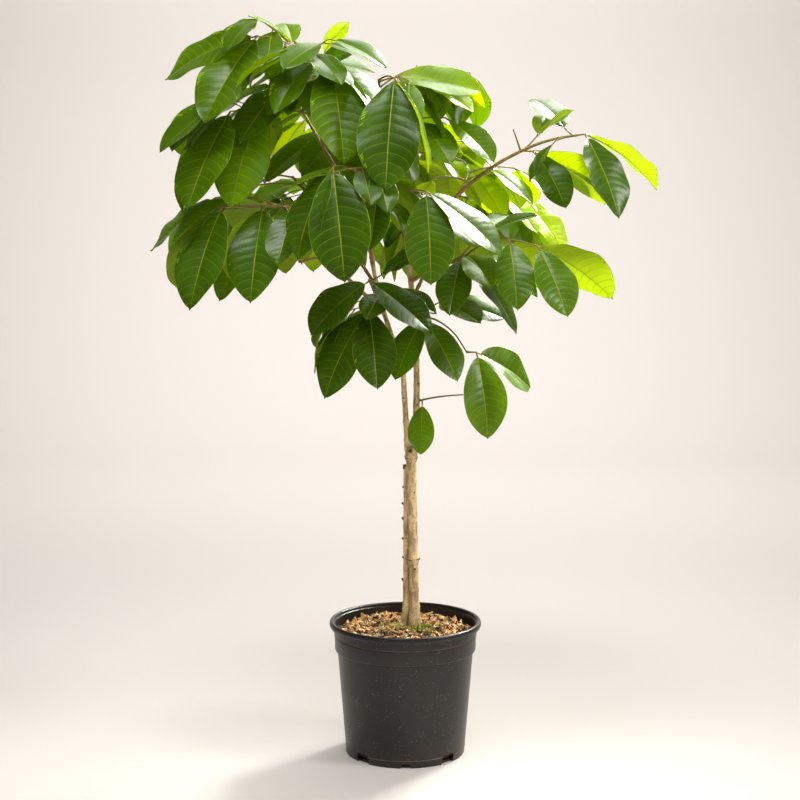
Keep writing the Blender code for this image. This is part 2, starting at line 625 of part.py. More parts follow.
def make_mix(collection, material):
    """The bark mix that fills the can, level under the stems and lower at the wall."""
    band_foot = POT_HEIGHT - RIM_HEIGHT - BAND_HEIGHT
    floor = POT_FLOOR + CLEARANCE
    inset = POT_WALL + 2.5 * CLEARANCE
    notch_top = NOTCH_HEIGHTS[1] + CLEARANCE
    edge = BAND_RADIUS - inset
    profile = [(0.0, MIX_TOP), (MIX_FLAT, MIX_TOP), (MIX_SLOPE, MIX_TOP - 0.35 * MIX_DISH)]
    profile.append((edge, MIX_TOP - MIX_DISH))
    profile.append((edge, band_foot + 0.75 * BAND_STEP))
    profile.append((wall_radius(band_foot) - inset, band_foot + 0.25 * BAND_STEP))
    profile.append((wall_radius(notch_top) - inset, notch_top))
    profile.append((POT_BASE_RADIUS + NOTCH_REACH - NOTCH_DEPTH - 2.0 * POT_WALL, floor))
    profile.append((0.0, floor))
    return turned_object("potting_mix", profile, POT_SIDES, collection, material)


def tube_object(name, tube, resolution, collection, material):
    """A tapering tube: a bevelled curve made a closed mesh."""
    curve = bpy.data.curves.new(name, "CURVE")
    curve.dimensions = "3D"
    curve.bevel_depth = 1.0
    curve.bevel_resolution = resolution
    curve.use_fill_caps = True
    spline = curve.splines.new("POLY")
    spline.points.add(len(tube.points) - 1)
    for place, point, radius in zip(spline.points, tube.points, tube.radii):
        place.co = (*point, 1.0)
        place.radius = radius
    holder = bpy.data.objects.new(name + "_curve", curve)
    collection.objects.link(holder)
    mesh = evaluated_mesh(holder)
    mesh.transform(holder.matrix_world)
    bpy.data.objects.remove(holder)
    bpy.data.curves.remove(curve)
    shape = bmesh.new()
    shape.from_mesh(mesh)
    bmesh.ops.remove_doubles(shape, verts=shape.verts, dist=WELD)
    bmesh.ops.recalc_face_normals(shape, faces=shape.faces)
    shape.to_mesh(mesh)
    shape.free()
    made = make_object(name, mesh, collection, material)
    mesh.shade_smooth()
    return made


def leaf_object(name, leaf, collection, material):
    """One leaflet as a thin closed blade."""
    mesh = bpy.data.meshes.new(name)
    corners, faces = blade_solid(leaf)
    mesh.from_pydata([tuple(corner) for corner in corners], [], faces)
    shape = bmesh.new()
    shape.from_mesh(mesh)
    bmesh.ops.triangulate(shape, faces=shape.faces)
    bmesh.ops.recalc_face_normals(shape, faces=shape.faces)
    shape.to_mesh(mesh)
    shape.free()
    return make_object(name, mesh, collection, material)


def largest_body(mesh):
    """Keep a mesh's largest joined body and drop loose scraps."""
    shape = bmesh.new()
    shape.from_mesh(mesh)
    left = set(shape.verts)
    bodies = []
    while left:
        body = {left.pop()}
        front = list(body)
        while front:
            corner = front.pop()
            for edge in corner.link_edges:
                other = edge.other_vert(corner)
                if other in left:
                    left.discard(other)
                    body.add(other)
                    front.append(other)
        bodies.append(body)
    bodies.sort(key=len, reverse=True)
    for body in bodies[1:]:
        bmesh.ops.delete(shape, geom=list(body), context="VERTS")
    shape.to_mesh(mesh)
    shape.free()


def make_mass(mass, plant, collection, material):
    """One foliage mass: its stem, rachises and leaflets fused by one Boolean union."""
    stem = tube_object(mass.name, plant.tubes[mass.name], 0, collection, material)
    pieces = bpy.data.collections.new(mass.name + "_pieces")
    bpy.context.scene.collection.children.link(pieces)
    for index, tube in enumerate(plant.twigs[mass.name]):
        tube_object(f"{mass.name}_rachis_{index}", tube, 0, pieces, material)
    for index, leaf in enumerate(plant.leaflets[mass.name]):
        leaf_object(f"{mass.name}_leaflet_{index}", leaf, pieces, material)
    union = stem.modifiers.new("fuse", "BOOLEAN")
    union.operation = "UNION"
    union.operand_type = "COLLECTION"
    union.collection = pieces
    union.solver = "MANIFOLD"
    apply_modifiers(stem)
    for piece in list(pieces.objects):
        bpy.data.objects.remove(piece)
    bpy.data.collections.remove(pieces)
    largest_body(stem.data)
    stem.data.set_sharp_from_angle(angle=math.radians(SHARP_ANGLE))
    return stem


def clear_scene():
    """Remove whatever the scene holds."""
    for old in list(bpy.data.objects):
        bpy.data.objects.remove(old)


def main():
    """Build the can, the mix, the stems and boughs, and every foliage mass."""
    clear_scene()
    parts = bpy.data.collections.new("potted_rambutan_tree")
    cutters = bpy.data.collections.new("cutters")
    bpy.context.scene.collection.children.link(parts)
    bpy.context.scene.collection.children.link(cutters)
    can = make_material("black_polypropylene", (0.035, 0.033, 0.031), 0.45)
    bark_mix = make_material("composted_bark", (0.16, 0.075, 0.03), 0.9)
    bark = make_material("sapling_bark", (0.36, 0.26, 0.16), 0.8)
    foliage = make_material("leaf", (0.06, 0.16, 0.015), 0.35)
    make_pot(parts, cutters, can)
    make_mix(parts, bark_mix)
    plant = grow_plant()
    for name in ["main_stem", "side_stem"] + [limb.name for limb in STEMS]:
        tube_object(name, plant.tubes[name], STEM_ROUNDNESS, parts, bark)
    for limb in BOUGHS:
        tube_object(limb.name, plant.tubes[limb.name], BOUGH_ROUNDNESS, parts, bark)
    for mass in MASSES:
        make_mass(mass, plant, parts, foliage)


if __name__ == "__main__":
    main()
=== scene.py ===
"""A potted rambutan sapling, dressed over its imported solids.

The plant is grown by the same rule as its solids, then carried on to finer twigs and
leaflets within the same reach. Each leaflet is a thin closed blade whose mesh follows its
midrib and lateral veins; limbs get a skin of bark; the can and its bark mix are modelled
in full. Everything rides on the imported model's one body.
"""

import json
import logging
import math
import random
from collections.abc import Callable
from dataclasses import dataclass, field, replace
from enum import Enum
from functools import partial

import bmesh
import bpy
import numpy as np
from mathutils import Matrix, Vector, noise
from mathutils.bvhtree import BVHTree

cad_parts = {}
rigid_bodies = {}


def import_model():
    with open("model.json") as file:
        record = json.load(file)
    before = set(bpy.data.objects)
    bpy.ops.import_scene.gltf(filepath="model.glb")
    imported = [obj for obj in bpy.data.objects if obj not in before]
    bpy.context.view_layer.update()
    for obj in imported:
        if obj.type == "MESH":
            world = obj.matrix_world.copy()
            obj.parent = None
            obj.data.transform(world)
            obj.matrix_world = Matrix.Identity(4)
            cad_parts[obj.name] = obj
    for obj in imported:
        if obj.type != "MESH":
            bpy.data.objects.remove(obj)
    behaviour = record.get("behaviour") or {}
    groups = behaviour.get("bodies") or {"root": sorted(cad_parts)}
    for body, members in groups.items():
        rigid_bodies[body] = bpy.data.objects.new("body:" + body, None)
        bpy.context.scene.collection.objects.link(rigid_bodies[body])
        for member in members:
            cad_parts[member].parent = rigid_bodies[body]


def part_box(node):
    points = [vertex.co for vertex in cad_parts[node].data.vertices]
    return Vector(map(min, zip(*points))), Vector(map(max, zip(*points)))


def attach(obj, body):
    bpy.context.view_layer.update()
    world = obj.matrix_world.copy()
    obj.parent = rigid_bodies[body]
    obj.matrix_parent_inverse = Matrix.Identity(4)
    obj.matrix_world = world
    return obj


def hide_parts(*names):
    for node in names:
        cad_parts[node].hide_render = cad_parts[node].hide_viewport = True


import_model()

LOG = logging.getLogger("potted_rambutan")
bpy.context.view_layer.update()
ROOT_BODY = "root"

Solid = tuple[list[Vector], list[tuple[int, ...]]]
CentreLine = tuple[np.ndarray, np.ndarray]      # points and radii
Adder = Callable[..., bpy.types.Node]           # adds a node to one tree

# ---------------------------------------------------------------- sizes of the solids
CLEARANCE = 0.0003
POT_HEIGHT = 0.243
POT_RIM_RADIUS = 0.1365
POT_BASE_RADIUS = 0.107
POT_WALL = 0.0020
POT_FLOOR = 0.0035
RIM_HEIGHT = 0.0125
RIM_ROLL = 0.0042
BAND_HEIGHT = 0.026
BAND_RADIUS = 0.1275
BAND_STEP = 0.0040
MIX_TOP = 0.2255
MIX_DISH = 0.0045             # how far the mix falls towards the wall
MIX_FLAT = 0.040              # radius of its level middle

NOTCH_COUNT = 8               # drainage notches round the base, wide and narrow by turns
NOTCH_DEPTH = 0.011
NOTCH_REACH = 0.004           # a notch is centred this far outside the base
STEM_FOOT = (0.0170, 0.0120)
STEM_RADIUS = 0.0086
STEM_FLARE = 0.0058           # extra radius of the root flare at the mix
STEM_FLARE_HEIGHT = 0.022
STEM_HEIGHT = 0.3240
STEM_LEAN = (185.0, 88.8)     # heading and rise of the main stem
STEM_STEPS = 16
FOOT_CUT = 0.003              # each stem starts upright, so that its foot is cut level
FORK_SWELL = 0.0026
FORK_SWELL_HEIGHT = 0.020
FORK_SPREAD = 0.0058          # each leader's foot stands this far from the stem's axis
SIDE_STEM_HEIGHT = 0.2950
SIDE_STEM_RADII = (0.0064, 0.0036)
SIDE_STEM_BEARINGS = (183.0, 150.0)   # it winds a little round the main stem
SIDE_STEM_STEPS = 12
SIDE_STEM_FLARE = 0.35        # its share of the main stem's flare
LIMB_STEPS = 8
TWIG_STEPS = 3
SIDE_SLICE = (0.31, 0.17, 0.94)       # a direction that no limb follows
PAIR_GAP = 0.050              # along a rachis from one pair of leaflets to the next
PETIOLULE = 0.009
RACHIS_RADII = (0.0022, 0.0015)
RACHIS_MARGIN = 0.001         # a rachis keeps this much further off its neighbours
RACHIS_TURN = 9.0             # degrees it turns aside at each try
FIRST_PAIR = 0.18             # nearest place to the stem that a pair may hold on a rachis
LEAF_WIDTH = 0.50             # widest breadth over length
LEAF_THICKNESS = 0.0022       # at the midrib
LEAF_STATIONS = (0.15, 0.48, 0.83)
STALK_RADIUS = 0.0013
LEAF_TAPER = (1.02, 0.66)     # shape of the outline: shift of its widest place, bluntness
LEAF_FOLD = 13.0              # each half lifts this many degrees from the midrib
LEAF_FOLD_SPREAD = 5.0
LEAF_BEND = 26.0              # the blade curves down by this much, foot to tip
LEAF_BEND_SPREAD = 9.0
FAN_PER_PAIR = 13.0           # inner pairs spread wider by this many degrees
FAN_SPREAD = 5.0
HANG_PER_PAIR = 0.08
SIZE_PER_PAIR = 0.07
SIZE_SPREAD = 0.05
LEAF_TURN = 8.0               # degrees a leaflet turns aside at each try
TRY_HANG = 0.06               # and how much lower it then hangs
TRY_SIZE = 0.97               # and how much smaller it then is
STEEP_SPREAD = 0.15           # a leaflet steeper than this faces the way its rachis runs
FRONT_LIFT = 0.25             # a blade that faces the front also looks up by this share
ROOT_SHARE = 0.18             # this much of a blade may touch its own mass
CLEAR_SHARE = 1.0 - 1.5 * ROOT_SHARE  # and this much of its length keeps clear of it
TRIES = 13
THINNEST = 0.0002             # no skin's radius is smaller

EXTRA_SEED = 600
FILL_SEED = 700
FILL_RADII = (0.0015, 0.0010)
FILL_TRIES = 5
FILL_PLACES = (0.15, 0.95)    # along the twig that carries it
FILL_HEADINGS = (-110.0, 110.0)       # against that twig's own
FILL_RISES = (-10.0, 50.0)
FILL_LENGTHS = (0.05, 0.12)
FILL_SAGS = (10.0, 50.0)
FILL_COUNTS = (4, 4, 6)       # leaflets
FILL_BLADES = (0.085, 0.135)
FILL_FANS = (35.0, 50.0)
FILL_HANGS = (0.2, 0.9)
FILL_FRONTS = (0.0, 0.6)
FILL_GAP = 0.032
END_REACH = PAIR_GAP * 0.1    # a finer rachis needs a leaflet this close to its end
HIDE_REACH = 0.055            # a finer leaflet keeps this far aside of a larger one behind it
HIDE_DEPTH = 0.01             # or this far behind it
SHOWN_LENGTH = 0.11           # blades longer than this are the larger ones
SHOWN_FACE = 0.2              # and face no further back than this
FORM_SEED = 900
BARK_SEED = 300
LITTER_SEED = 500


class Tint(Enum):
    """How old a spray's leaflets are, which sets their greens."""

    DEEP = "deep"
    MATURE = "mature"
    FRESH = "fresh"
    YOUNG = "young"


@dataclass(frozen=True)
class Limb:
    """A tapering limb that leaves its parent and bends evenly along its length."""

    name: str
    parent: str
    at: float                 # place along the parent, 1 at its tip
    heading: float            # degrees from +X towards +Y
    rise: float               # degrees above the level, at the foot
    length: float
    sag: float                # how many degrees the rise falls by the tip
    foot: float               # radii
    tip: float


@dataclass(frozen=True)
class Spray:
    """A compound leaf: a rachis with leaflets in pairs from its end inwards."""

    at: float                 # place along the shoot's stem
    heading: float
    rise: float
    length: float
    sag: float
    leaflets: int
    blade: float              # length of the largest leaflet
    fan: float = 42.0         # angle between the rachis and its end leaflets
    roll: float = 0.0         # turn of the pairs about the rachis
    hang: float = 0.7         # pull of gravity on the leaflets
    gap: float = PAIR_GAP     # along the rachis from one pair to the next
    front: tuple[float, float] = (0.15, 0.15)    # how far right and left blades face the front
    sizes: tuple[float, float] = (1.0, 1.0)      # right and left blades against the largest


@dataclass(frozen=True)
class Mass:
    """A leafy shoot: one stem that grows on from a limb, and its compound leaves."""

    name: str
    stem: Limb
    sprays: tuple[Spray, ...]
    seed: int


STEMS = (
    Limb("right_leader", "main_stem", 1.0, 0, 86, 0.345, -12, 0.0058, 0.0048),
    Limb("left_leader", "main_stem", 1.0, 249, 80, 0.160, -1, 0.0053, 0.0046),
    Limb("left_leader_upper", "left_leader", 1.0, 184, 66, 0.200, -16, 0.0045, 0.0036),
)

BOUGHS = (
    Limb("left_bough", "left_leader_upper", 0.53, 210, 38, 0.252, -14, 0.0036, 0.0026),
    Limb("cut_stub", "left_bough", 0.56, 186, -8, 0.042, 8, 0.0024, 0.0020),
    Limb("right_bough", "right_leader", 0.97, 350, 67, 0.274, 42, 0.0042, 0.0028),
    Limb("right_middle_bough", "right_leader", 0.88, 300, 20, 0.115, 6, 0.0032, 0.0025),
    Limb("top_left_bough", "left_leader_upper", 1.0, 205, 72, 0.200, 16, 0.0034, 0.0028),
    Limb("top_right_bough", "right_leader", 1.0, 196, 80, 0.190, 4, 0.0038, 0.0028),
    Limb("front_bough", "left_leader_upper", 0.93, 262, 52, 0.150, 10, 0.0032, 0.0025),
    Limb("back_left_bough", "left_leader_upper", 0.72, 128, 42, 0.190, 8, 0.0032, 0.0025),
    Limb("back_right_bough", "right_leader", 0.80, 62, 44, 0.200, 10, 0.0034, 0.0026),
)

MASSES = (
    Mass("foliage_top", Limb("", "top_left_bough", 0.76, 193, 60, 0.172, 0, 0.0028, 0.0022), (
        Spray(1.00, 314, 40, 0.120, 44, 2, 0.185, fan=36, roll=20, hang=1.00, front=(0.3, 0.3)),
        Spray(0.97, 250, 20, 0.020, 10, 1, 0.145, fan=15, hang=0.80, front=(0.8, 0.8)),
        Spray(0.95, 340, 44, 0.045, 20, 1, 0.105, fan=10, hang=-0.10, front=(1.2, 1.2)),
        Spray(0.90, 10, 56, 0.080, 10, 1, 0.072, fan=20, hang=-0.40, front=(2.5, 2.5)),
        Spray(0.70, 350, 40, 0.120, 30, 4, 0.120, fan=40, hang=0.35, front=(0.4, 0.4)),
    ), 21),
    Mass("foliage_centre", Limb("", "front_bough", 1.0, 262, 42, 0.070, 0, 0.0025, 0.0022), (
        Spray(1.00, 240, 22, 0.080, 30, 2, 0.195, sizes=(0.8, 1.0), fan=42, roll=-20, hang=1.60,
              front=(0.5, 0.5)),
        Spray(0.95, 262, 20, 0.055, 20, 1, 0.105, fan=78, hang=0.10, front=(0.3, 0.3)),
        Spray(0.40, 300, 10, 0.060, 20, 2, 0.110, fan=40, hang=0.90),
    ), 51),
    Mass("foliage_upper_right", Limb("", "top_right_bough", 1.0, 262, 56, 0.140, 0, 0.0027, 0.0022), (
        Spray(1.00, 284, 10, 0.112, 20, 2, 0.200, fan=30, roll=25, hang=1.00, front=(0.2, -0.7)),
        Spray(0.98, 345, 20, 0.025, 10, 1, 0.145, fan=-6, hang=0.22, front=(0.8, 0.8)),
        Spray(0.55, 235, 20, 0.050, 20, 1, 0.150, fan=-30, hang=1.60, front=(0.5, 0.5)),
        Spray(0.90, 25, 36, 0.080, 20, 2, 0.100, fan=40, hang=0.25, front=(0.4, 0.4)),
        Spray(0.30, 0, 25, 0.110, 30, 4, 0.120, fan=40, hang=0.50, front=(0.4, 0.4)),
    ), 31),
    Mass("foliage_upper_left", Limb("", "top_left_bough", 1.0, 200, 78, 0.140, 0, 0.0028, 0.0022), (
        Spray(1.00, 205, 52, 0.105, 45, 2, 0.178, fan=32, roll=-40, hang=0.70, front=(0.9, 0.5)),
        Spray(0.42, 195, 12, 0.150, 20, 4, 0.195, fan=40, hang=0.92, front=(0.2, 0.2), gap=0.055),
        Spray(1.00, 160, 60, 0.045, 10, 3, 0.085, fan=40, hang=-0.15, front=(0.3, 0.3)),
        Spray(0.60, 130, 30, 0.120, 30, 4, 0.140, fan=45, hang=0.40, front=(0.4, 0.4)),
    ), 41),
    Mass("foliage_left", Limb("", "left_bough", 1.0, 200, 10, 0.025, 20, 0.0026, 0.0022), (
        Spray(1.00, 190, 2, 0.085, 6, 4, 0.180, fan=52, roll=-15, hang=0.95, front=(0.2, 0.2), gap=0.080),
        Spray(0.90, 186, -4, 0.090, 0, 1, 0.150, fan=-16, hang=0.75, front=(-0.3, -0.3)),
        Spray(0.60, 150, 20, 0.130, 30, 4, 0.150, fan=45, hang=0.35, front=(0.4, 0.4)),
        Spray(0.30, 300, 10, 0.050, 20, 2, 0.110, fan=45, hang=0.80, front=(0.3, 0.3)),
    ), 61),
    Mass("foliage_centre_right", Limb("", "front_bough", 0.80, 306, 30, 0.055, 0, 0.0025, 0.0020), (
        Spray(1.00, 312, 20, 0.104, 28, 4, 0.150, fan=42, roll=40, hang=0.95, front=(0.4, 0.4), gap=0.045),
    ), 71),
    Mass("foliage_right_tip", Limb("", "right_bough", 1.0, 345, 26, 0.100, 20, 0.0028, 0.0020), (
        Spray(1.00, 345, 8, 0.018, 0, 2, 0.185, sizes=(0.85, 1.0), fan=45, roll=35, hang=0.78,
              front=(0.3, 0.0)),
        Spray(0.97, 125, 30, 0.020, 0, 1, 0.115, fan=5, hang=-0.15, front=(0.5, 0.5)),
        Spray(0.80, 200, -20, 0.015, 0, 1, 0.080, fan=5, hang=0.60),
        Spray(0.06, 335, -8, 0.020, 0, 2, 0.175, sizes=(0.65, 1.0), fan=30, roll=20, hang=0.45,
              front=(0.8, -0.8)),
        Spray(0.10, 20, 45, 0.030, 0, 2, 0.070, fan=35, hang=-0.20, front=(0.5, 0.5)),
        Spray(0.02, 170, 70, 0.040, 0, 0, 0.080),
    ), 81),
    Mass("foliage_right_middle", Limb("", "right_middle_bough", 1.0, 300, 14, 0.040, 10, 0.0025, 0.0020), (
        Spray(1.00, 342, 46, 0.150, 68, 4, 0.150, sizes=(0.92, 1.05), fan=45, roll=20, hang=0.55,
              front=(0.3, -0.9)),
        Spray(0.80, 300, 20, 0.020, 0, 2, 0.155, sizes=(0.75, 1.0), fan=40, hang=1.00, front=(0.3, 0.3)),
        Spray(0.40, 20, 10, 0.060, 10, 2, 0.110, fan=35, hang=0.30, front=(0.4, 0.4)),
    ), 91),
    Mass("foliage_lower", Limb("", "left_leader_upper", 0.40, 241, 52, 0.095, 0, 0.0028, 0.0020), (
        Spray(1.00, 270, 5, 0.030, 10, 2, 0.135, fan=62, hang=0.50, front=(0.9, 0.9)),
        Spray(0.35, 245, 5, 0.045, 10, 2, 0.165, sizes=(1.0, 0.88), fan=40, hang=1.15, front=(0.9, 0.9)),
    ), 101),
    Mass("foliage_lower_right", Limb("", "right_leader", 0.66, 285, 30, 0.045, 0, 0.0026, 0.0020), (
        Spray(1.00, 275, -5, 0.035, 10, 2, 0.120, fan=42, hang=0.85, front=(0.6, 0.6)),
        Spray(0.90, 330, 35, 0.040, 10, 2, 0.115, fan=25, hang=0.45, front=(0.8, 0.8)),
    ), 111),
    Mass("foliage_low_right", Limb("", "right_leader", 0.70, 330, 0, 0.122, 62, 0.0020, 0.0015), (
        Spray(1.00, 340, 0, 0.018, 0, 2, 0.145, fan=60, roll=45, hang=0.95, front=(0.6, 1.6)),
    ), 121),
    Mass("foliage_low_sprig", Limb("", "right_leader", 0.26, 345, 14, 0.080, 10, 0.0018, 0.0012), (
        Spray(0.02, 280, 0, 0.016, 0, 1, 0.085, fan=20, hang=2.50),
    ), 131),
    Mass("foliage_right_inner", Limb("", "right_bough", 0.55, 70, 40, 0.060, 10, 0.0025, 0.0020), (
        Spray(0.90, 20, 20, 0.090, 30, 4, 0.105, fan=40, hang=0.45, front=(0.3, 0.3)),
        Spray(0.50, 200, 20, 0.060, 30, 2, 0.105, fan=40, hang=0.60, front=(0.3, 0.3)),
    ), 141),
    Mass("foliage_back_left", Limb("", "back_left_bough", 1.0, 128, 34, 0.120, 0, 0.0025, 0.0020), (
        Spray(1.00, 128, 10, 0.150, 40, 4, 0.160, hang=0.60, front=(-0.2, -0.2)),
        Spray(0.80, 190, 10, 0.150, 40, 4, 0.155, hang=0.40, front=(0.4, 0.4)),
        Spray(0.60, 70, 10, 0.150, 40, 4, 0.160, hang=0.60, front=(-0.2, -0.2)),
        Spray(0.30, 160, -10, 0.120, 30, 4, 0.150, hang=0.50, front=(0.4, 0.4)),
    ), 151),
    Mass("foliage_back_right", Limb("", "back_right_bough", 1.0, 62, 34, 0.120, 0, 0.0026, 0.0020), (
        Spray(1.00, 62, 10, 0.150, 40, 4, 0.160, hang=0.60, front=(-0.2, -0.2)),
        Spray(0.80, 20, 10, 0.100, 40, 4, 0.120, hang=0.40, front=(0.4, 0.4)),
        Spray(0.60, 120, 10, 0.150, 40, 4, 0.160, hang=0.60, front=(-0.2, -0.2)),
        Spray(0.30, 30, -10, 0.090, 30, 4, 0.130, hang=0.50, front=(0.4, 0.4)),
    ), 161),
    Mass("foliage_back_top", Limb("", "top_right_bough", 0.55, 80, 60, 0.140, 0, 0.0027, 0.0020), (
        Spray(1.00, 80, 30, 0.130, 40, 4, 0.150, hang=0.50, front=(-0.2, -0.2)),
        Spray(0.90, 160, 25, 0.140, 40, 4, 0.150, hang=0.40, front=(0.3, 0.3)),
        Spray(0.60, 20, 15, 0.120, 40, 4, 0.140, hang=0.40, front=(0.3, 0.3)),
    ), 171),
)

# tints of each shoot's compound leaves, in their order; MATURE where none is given
TINTS: dict[str, tuple[Tint, ...]] = {
    "foliage_top": (Tint.MATURE, Tint.DEEP, Tint.DEEP, Tint.YOUNG, Tint.FRESH),
    "foliage_centre": (Tint.DEEP, Tint.MATURE, Tint.DEEP),
    "foliage_upper_right": (Tint.DEEP, Tint.FRESH, Tint.MATURE, Tint.FRESH, Tint.MATURE),
    "foliage_upper_left": (Tint.MATURE, Tint.MATURE, Tint.FRESH, Tint.MATURE),
    "foliage_left": (Tint.DEEP, Tint.DEEP, Tint.MATURE, Tint.DEEP),
    "foliage_centre_right": (Tint.DEEP,),
    "foliage_right_tip": (Tint.DEEP, Tint.DEEP, Tint.DEEP, Tint.DEEP, Tint.FRESH, Tint.DEEP),
    "foliage_right_middle": (Tint.MATURE, Tint.DEEP, Tint.MATURE),
    "foliage_right_inner": (Tint.FRESH, Tint.YOUNG),
    "foliage_back_top": (Tint.FRESH, Tint.MATURE, Tint.YOUNG),
    "foliage_back_right": (Tint.MATURE, Tint.YOUNG, Tint.MATURE, Tint.FRESH),
    "foliage_lower": (Tint.DEEP, Tint.DEEP),
    "foliage_lower_right": (Tint.DEEP, Tint.DEEP),
    "foliage_low_right": (Tint.MATURE,),
    "foliage_low_sprig": (Tint.MATURE,),
}

# the tint of the second leaflet of each pair, where it differs: its pale underside turned outwards, made
# paler still as painted light for the backlight that shines through it
BACKLIT_SECOND_TINTS: dict[tuple[str, int], Tint] = {
    ("foliage_right_tip", 0): Tint.FRESH,
    ("foliage_right_tip", 3): Tint.FRESH,
    ("foliage_right_middle", 0): Tint.FRESH,
    ("foliage_upper_right", 0): Tint.FRESH,
}

# how many more compound leaves each shoot carries on its twigs, and their tint
FILLS: dict[str, tuple[int, Tint]] = {
    "foliage_top": (30, Tint.MATURE),
    "foliage_centre": (16, Tint.DEEP),
    "foliage_upper_right": (32, Tint.MATURE),
    "foliage_upper_left": (36, Tint.MATURE),
    "foliage_left": (30, Tint.DEEP),
    "foliage_centre_right": (14, Tint.DEEP),
    "foliage_right_tip": (5, Tint.FRESH),
    "foliage_right_middle": (10, Tint.DEEP),
    "foliage_lower": (10, Tint.DEEP),
    "foliage_lower_right": (8, Tint.DEEP),
    "foliage_right_inner": (18, Tint.YOUNG),
    "foliage_back_left": (40, Tint.MATURE),
    "foliage_back_right": (28, Tint.MATURE),
    "foliage_back_top": (44, Tint.FRESH),
}

# compound leaves that each shoot carries besides those of its solid
EXTRAS: dict[str, tuple[tuple[Spray, Tint], ...]] = {
    "foliage_lower": (
        (Spray(0.95, 330, 30, 0.020, 0, 1, 0.085, fan=0, hang=-0.15, front=(1.0, 1.0)), Tint.DEEP),
        (Spray(0.60, 300, 20, 0.030, 0, 2, 0.090, fan=35, hang=0.40, front=(0.6, 0.6)), Tint.DEEP)),
    "foliage_right_middle": (
        (Spray(0.90, 10, 50, 0.060, 10, 2, 0.105, fan=30, hang=0.10, front=(0.5, 0.5)), Tint.DEEP),
        (Spray(0.20, 330, 30, 0.040, 10, 2, 0.110, fan=35, hang=0.50, front=(0.4, 0.4)), Tint.MATURE)),
    "foliage_upper_right": (
        (Spray(0.75, 20, 30, 0.070, 10, 2, 0.125, fan=30, hang=0.35, front=(0.2, -0.4)), Tint.YOUNG),),
    "foliage_top": (
        (Spray(0.85, 340, 30, 0.050, 10, 2, 0.125, fan=35, hang=0.60, front=(0.5, 0.5)), Tint.MATURE),),
}


# ---------------------------------------------------------------- growth
def direction(heading: float, rise: float) -> Vector:
    """Turn a heading and a rise into a direction.

    Args:
        heading: degrees from +X towards +Y.
        rise: degrees above the level.

    Returns:
        The unit vector.
    """
    level = math.cos(math.radians(rise))
    return Vector((level * math.cos(math.radians(heading)), level * math.sin(math.radians(heading)),
                   math.sin(math.radians(rise))))


def bent_path(start: Vector, heading: float, rise: float, length: float, sag: float,
              steps: int) -> list[Vector]:
    """Lay out the points of a limb whose rise falls evenly by its sag.

    Args:
        start: the limb's foot.
        heading: degrees from +X towards +Y.
        rise: degrees above the level at the foot.
        length: length along the limb.
        sag: degrees that the rise falls by the tip.
        steps: how many straight steps.

    Returns:
        One point more than there are steps.
    """
    points = [start.copy()]
    for step in range(steps):
        turned = rise - sag * (step + 0.5) / steps
        points.append(points[-1] + direction(heading, turned) * (length / steps))
    return points


def tapered(foot: float, tip: float, steps: int) -> list[float]:
    """Radii that fall evenly from foot to tip, one more than there are steps."""
    return [foot + (tip - foot) * step / steps for step in range(steps + 1)]


def swung(step: float, attempt: int) -> float:
    """Degrees that a try turns aside: to either side by turns, and ever further."""
    return step * ((attempt + 1) // 2) * (-1.0) ** attempt


def along(points: list[Vector], place: float) -> tuple[Vector, Vector]:
    """Find a place on a path of evenly spaced points.

    Args:
        points: the path.
        place: from 0 at its foot to 1 at its tip.

    Returns:
        The point there and the unit tangent.
    """
    position = min(max(place, 0.0), 1.0) * (len(points) - 1)
    index = min(int(position), len(points) - 2)
    step = points[index + 1] - points[index]
    return points[index] + step * (position - index), step.normalized()


@dataclass
class Tube:
    """A grown limb or twig: its centre line and a radius at each point."""

    points: list[Vector]
    radii: list[float]

    def radius_at(self, place: float) -> float:
        """Find the radius at a place.

        Args:
            place: from 0 at the foot to 1 at the tip.

        Returns:
            The radius there.
        """
        position = min(max(place, 0.0), 1.0) * (len(self.radii) - 1)
        index = min(int(position), len(self.radii) - 2)
        share = position - index
        return self.radii[index] * (1.0 - share) + self.radii[index + 1] * share

    def place_at(self, height: float) -> float:
        """Place from 0 to 1 at which a rising limb passes a height."""
        heights = [point.z for point in self.points]
        return float(np.interp(height, heights, np.linspace(0.0, 1.0, len(heights))))


@dataclass
class Leaflet:
    """One leaflet: its foot, its run, the way its upper face looks, and its shape."""

    foot: Vector
    run: Vector
    face: Vector
    length: float
    fold: float
    bend: float
    tint: Tint = Tint.MATURE

    def midrib(self, place: float) -> tuple[Vector, Vector]:
        """Follow the midrib.

        Args:
            place: from 0 at the blade's foot to 1 at its tip.

        Returns:
            The point there and the midrib's run.
        """
        bend = math.radians(self.bend)
        turned = bend * place
        ahead = math.sin(turned) / bend
        down = (1.0 - math.cos(turned)) / bend
        point = self.foot + self.run * PETIOLULE + (self.run * ahead - self.face * down) * self.length
        return point, self.run * math.cos(turned) - self.face * math.sin(turned)

    def beyond_root(self) -> "Leaflet":
        """The outer part of the blade, which keeps clear of its own shoot too."""
        return replace(self, foot=self.midrib(ROOT_SHARE)[0], length=self.length * CLEAR_SHARE)


def half_width(place: float) -> float:
    """Half breadth of a blade at a place along it, as a share of its length."""
    return 0.5 * LEAF_WIDTH * math.sin(math.pi * place ** LEAF_TAPER[0]) ** LEAF_TAPER[1]


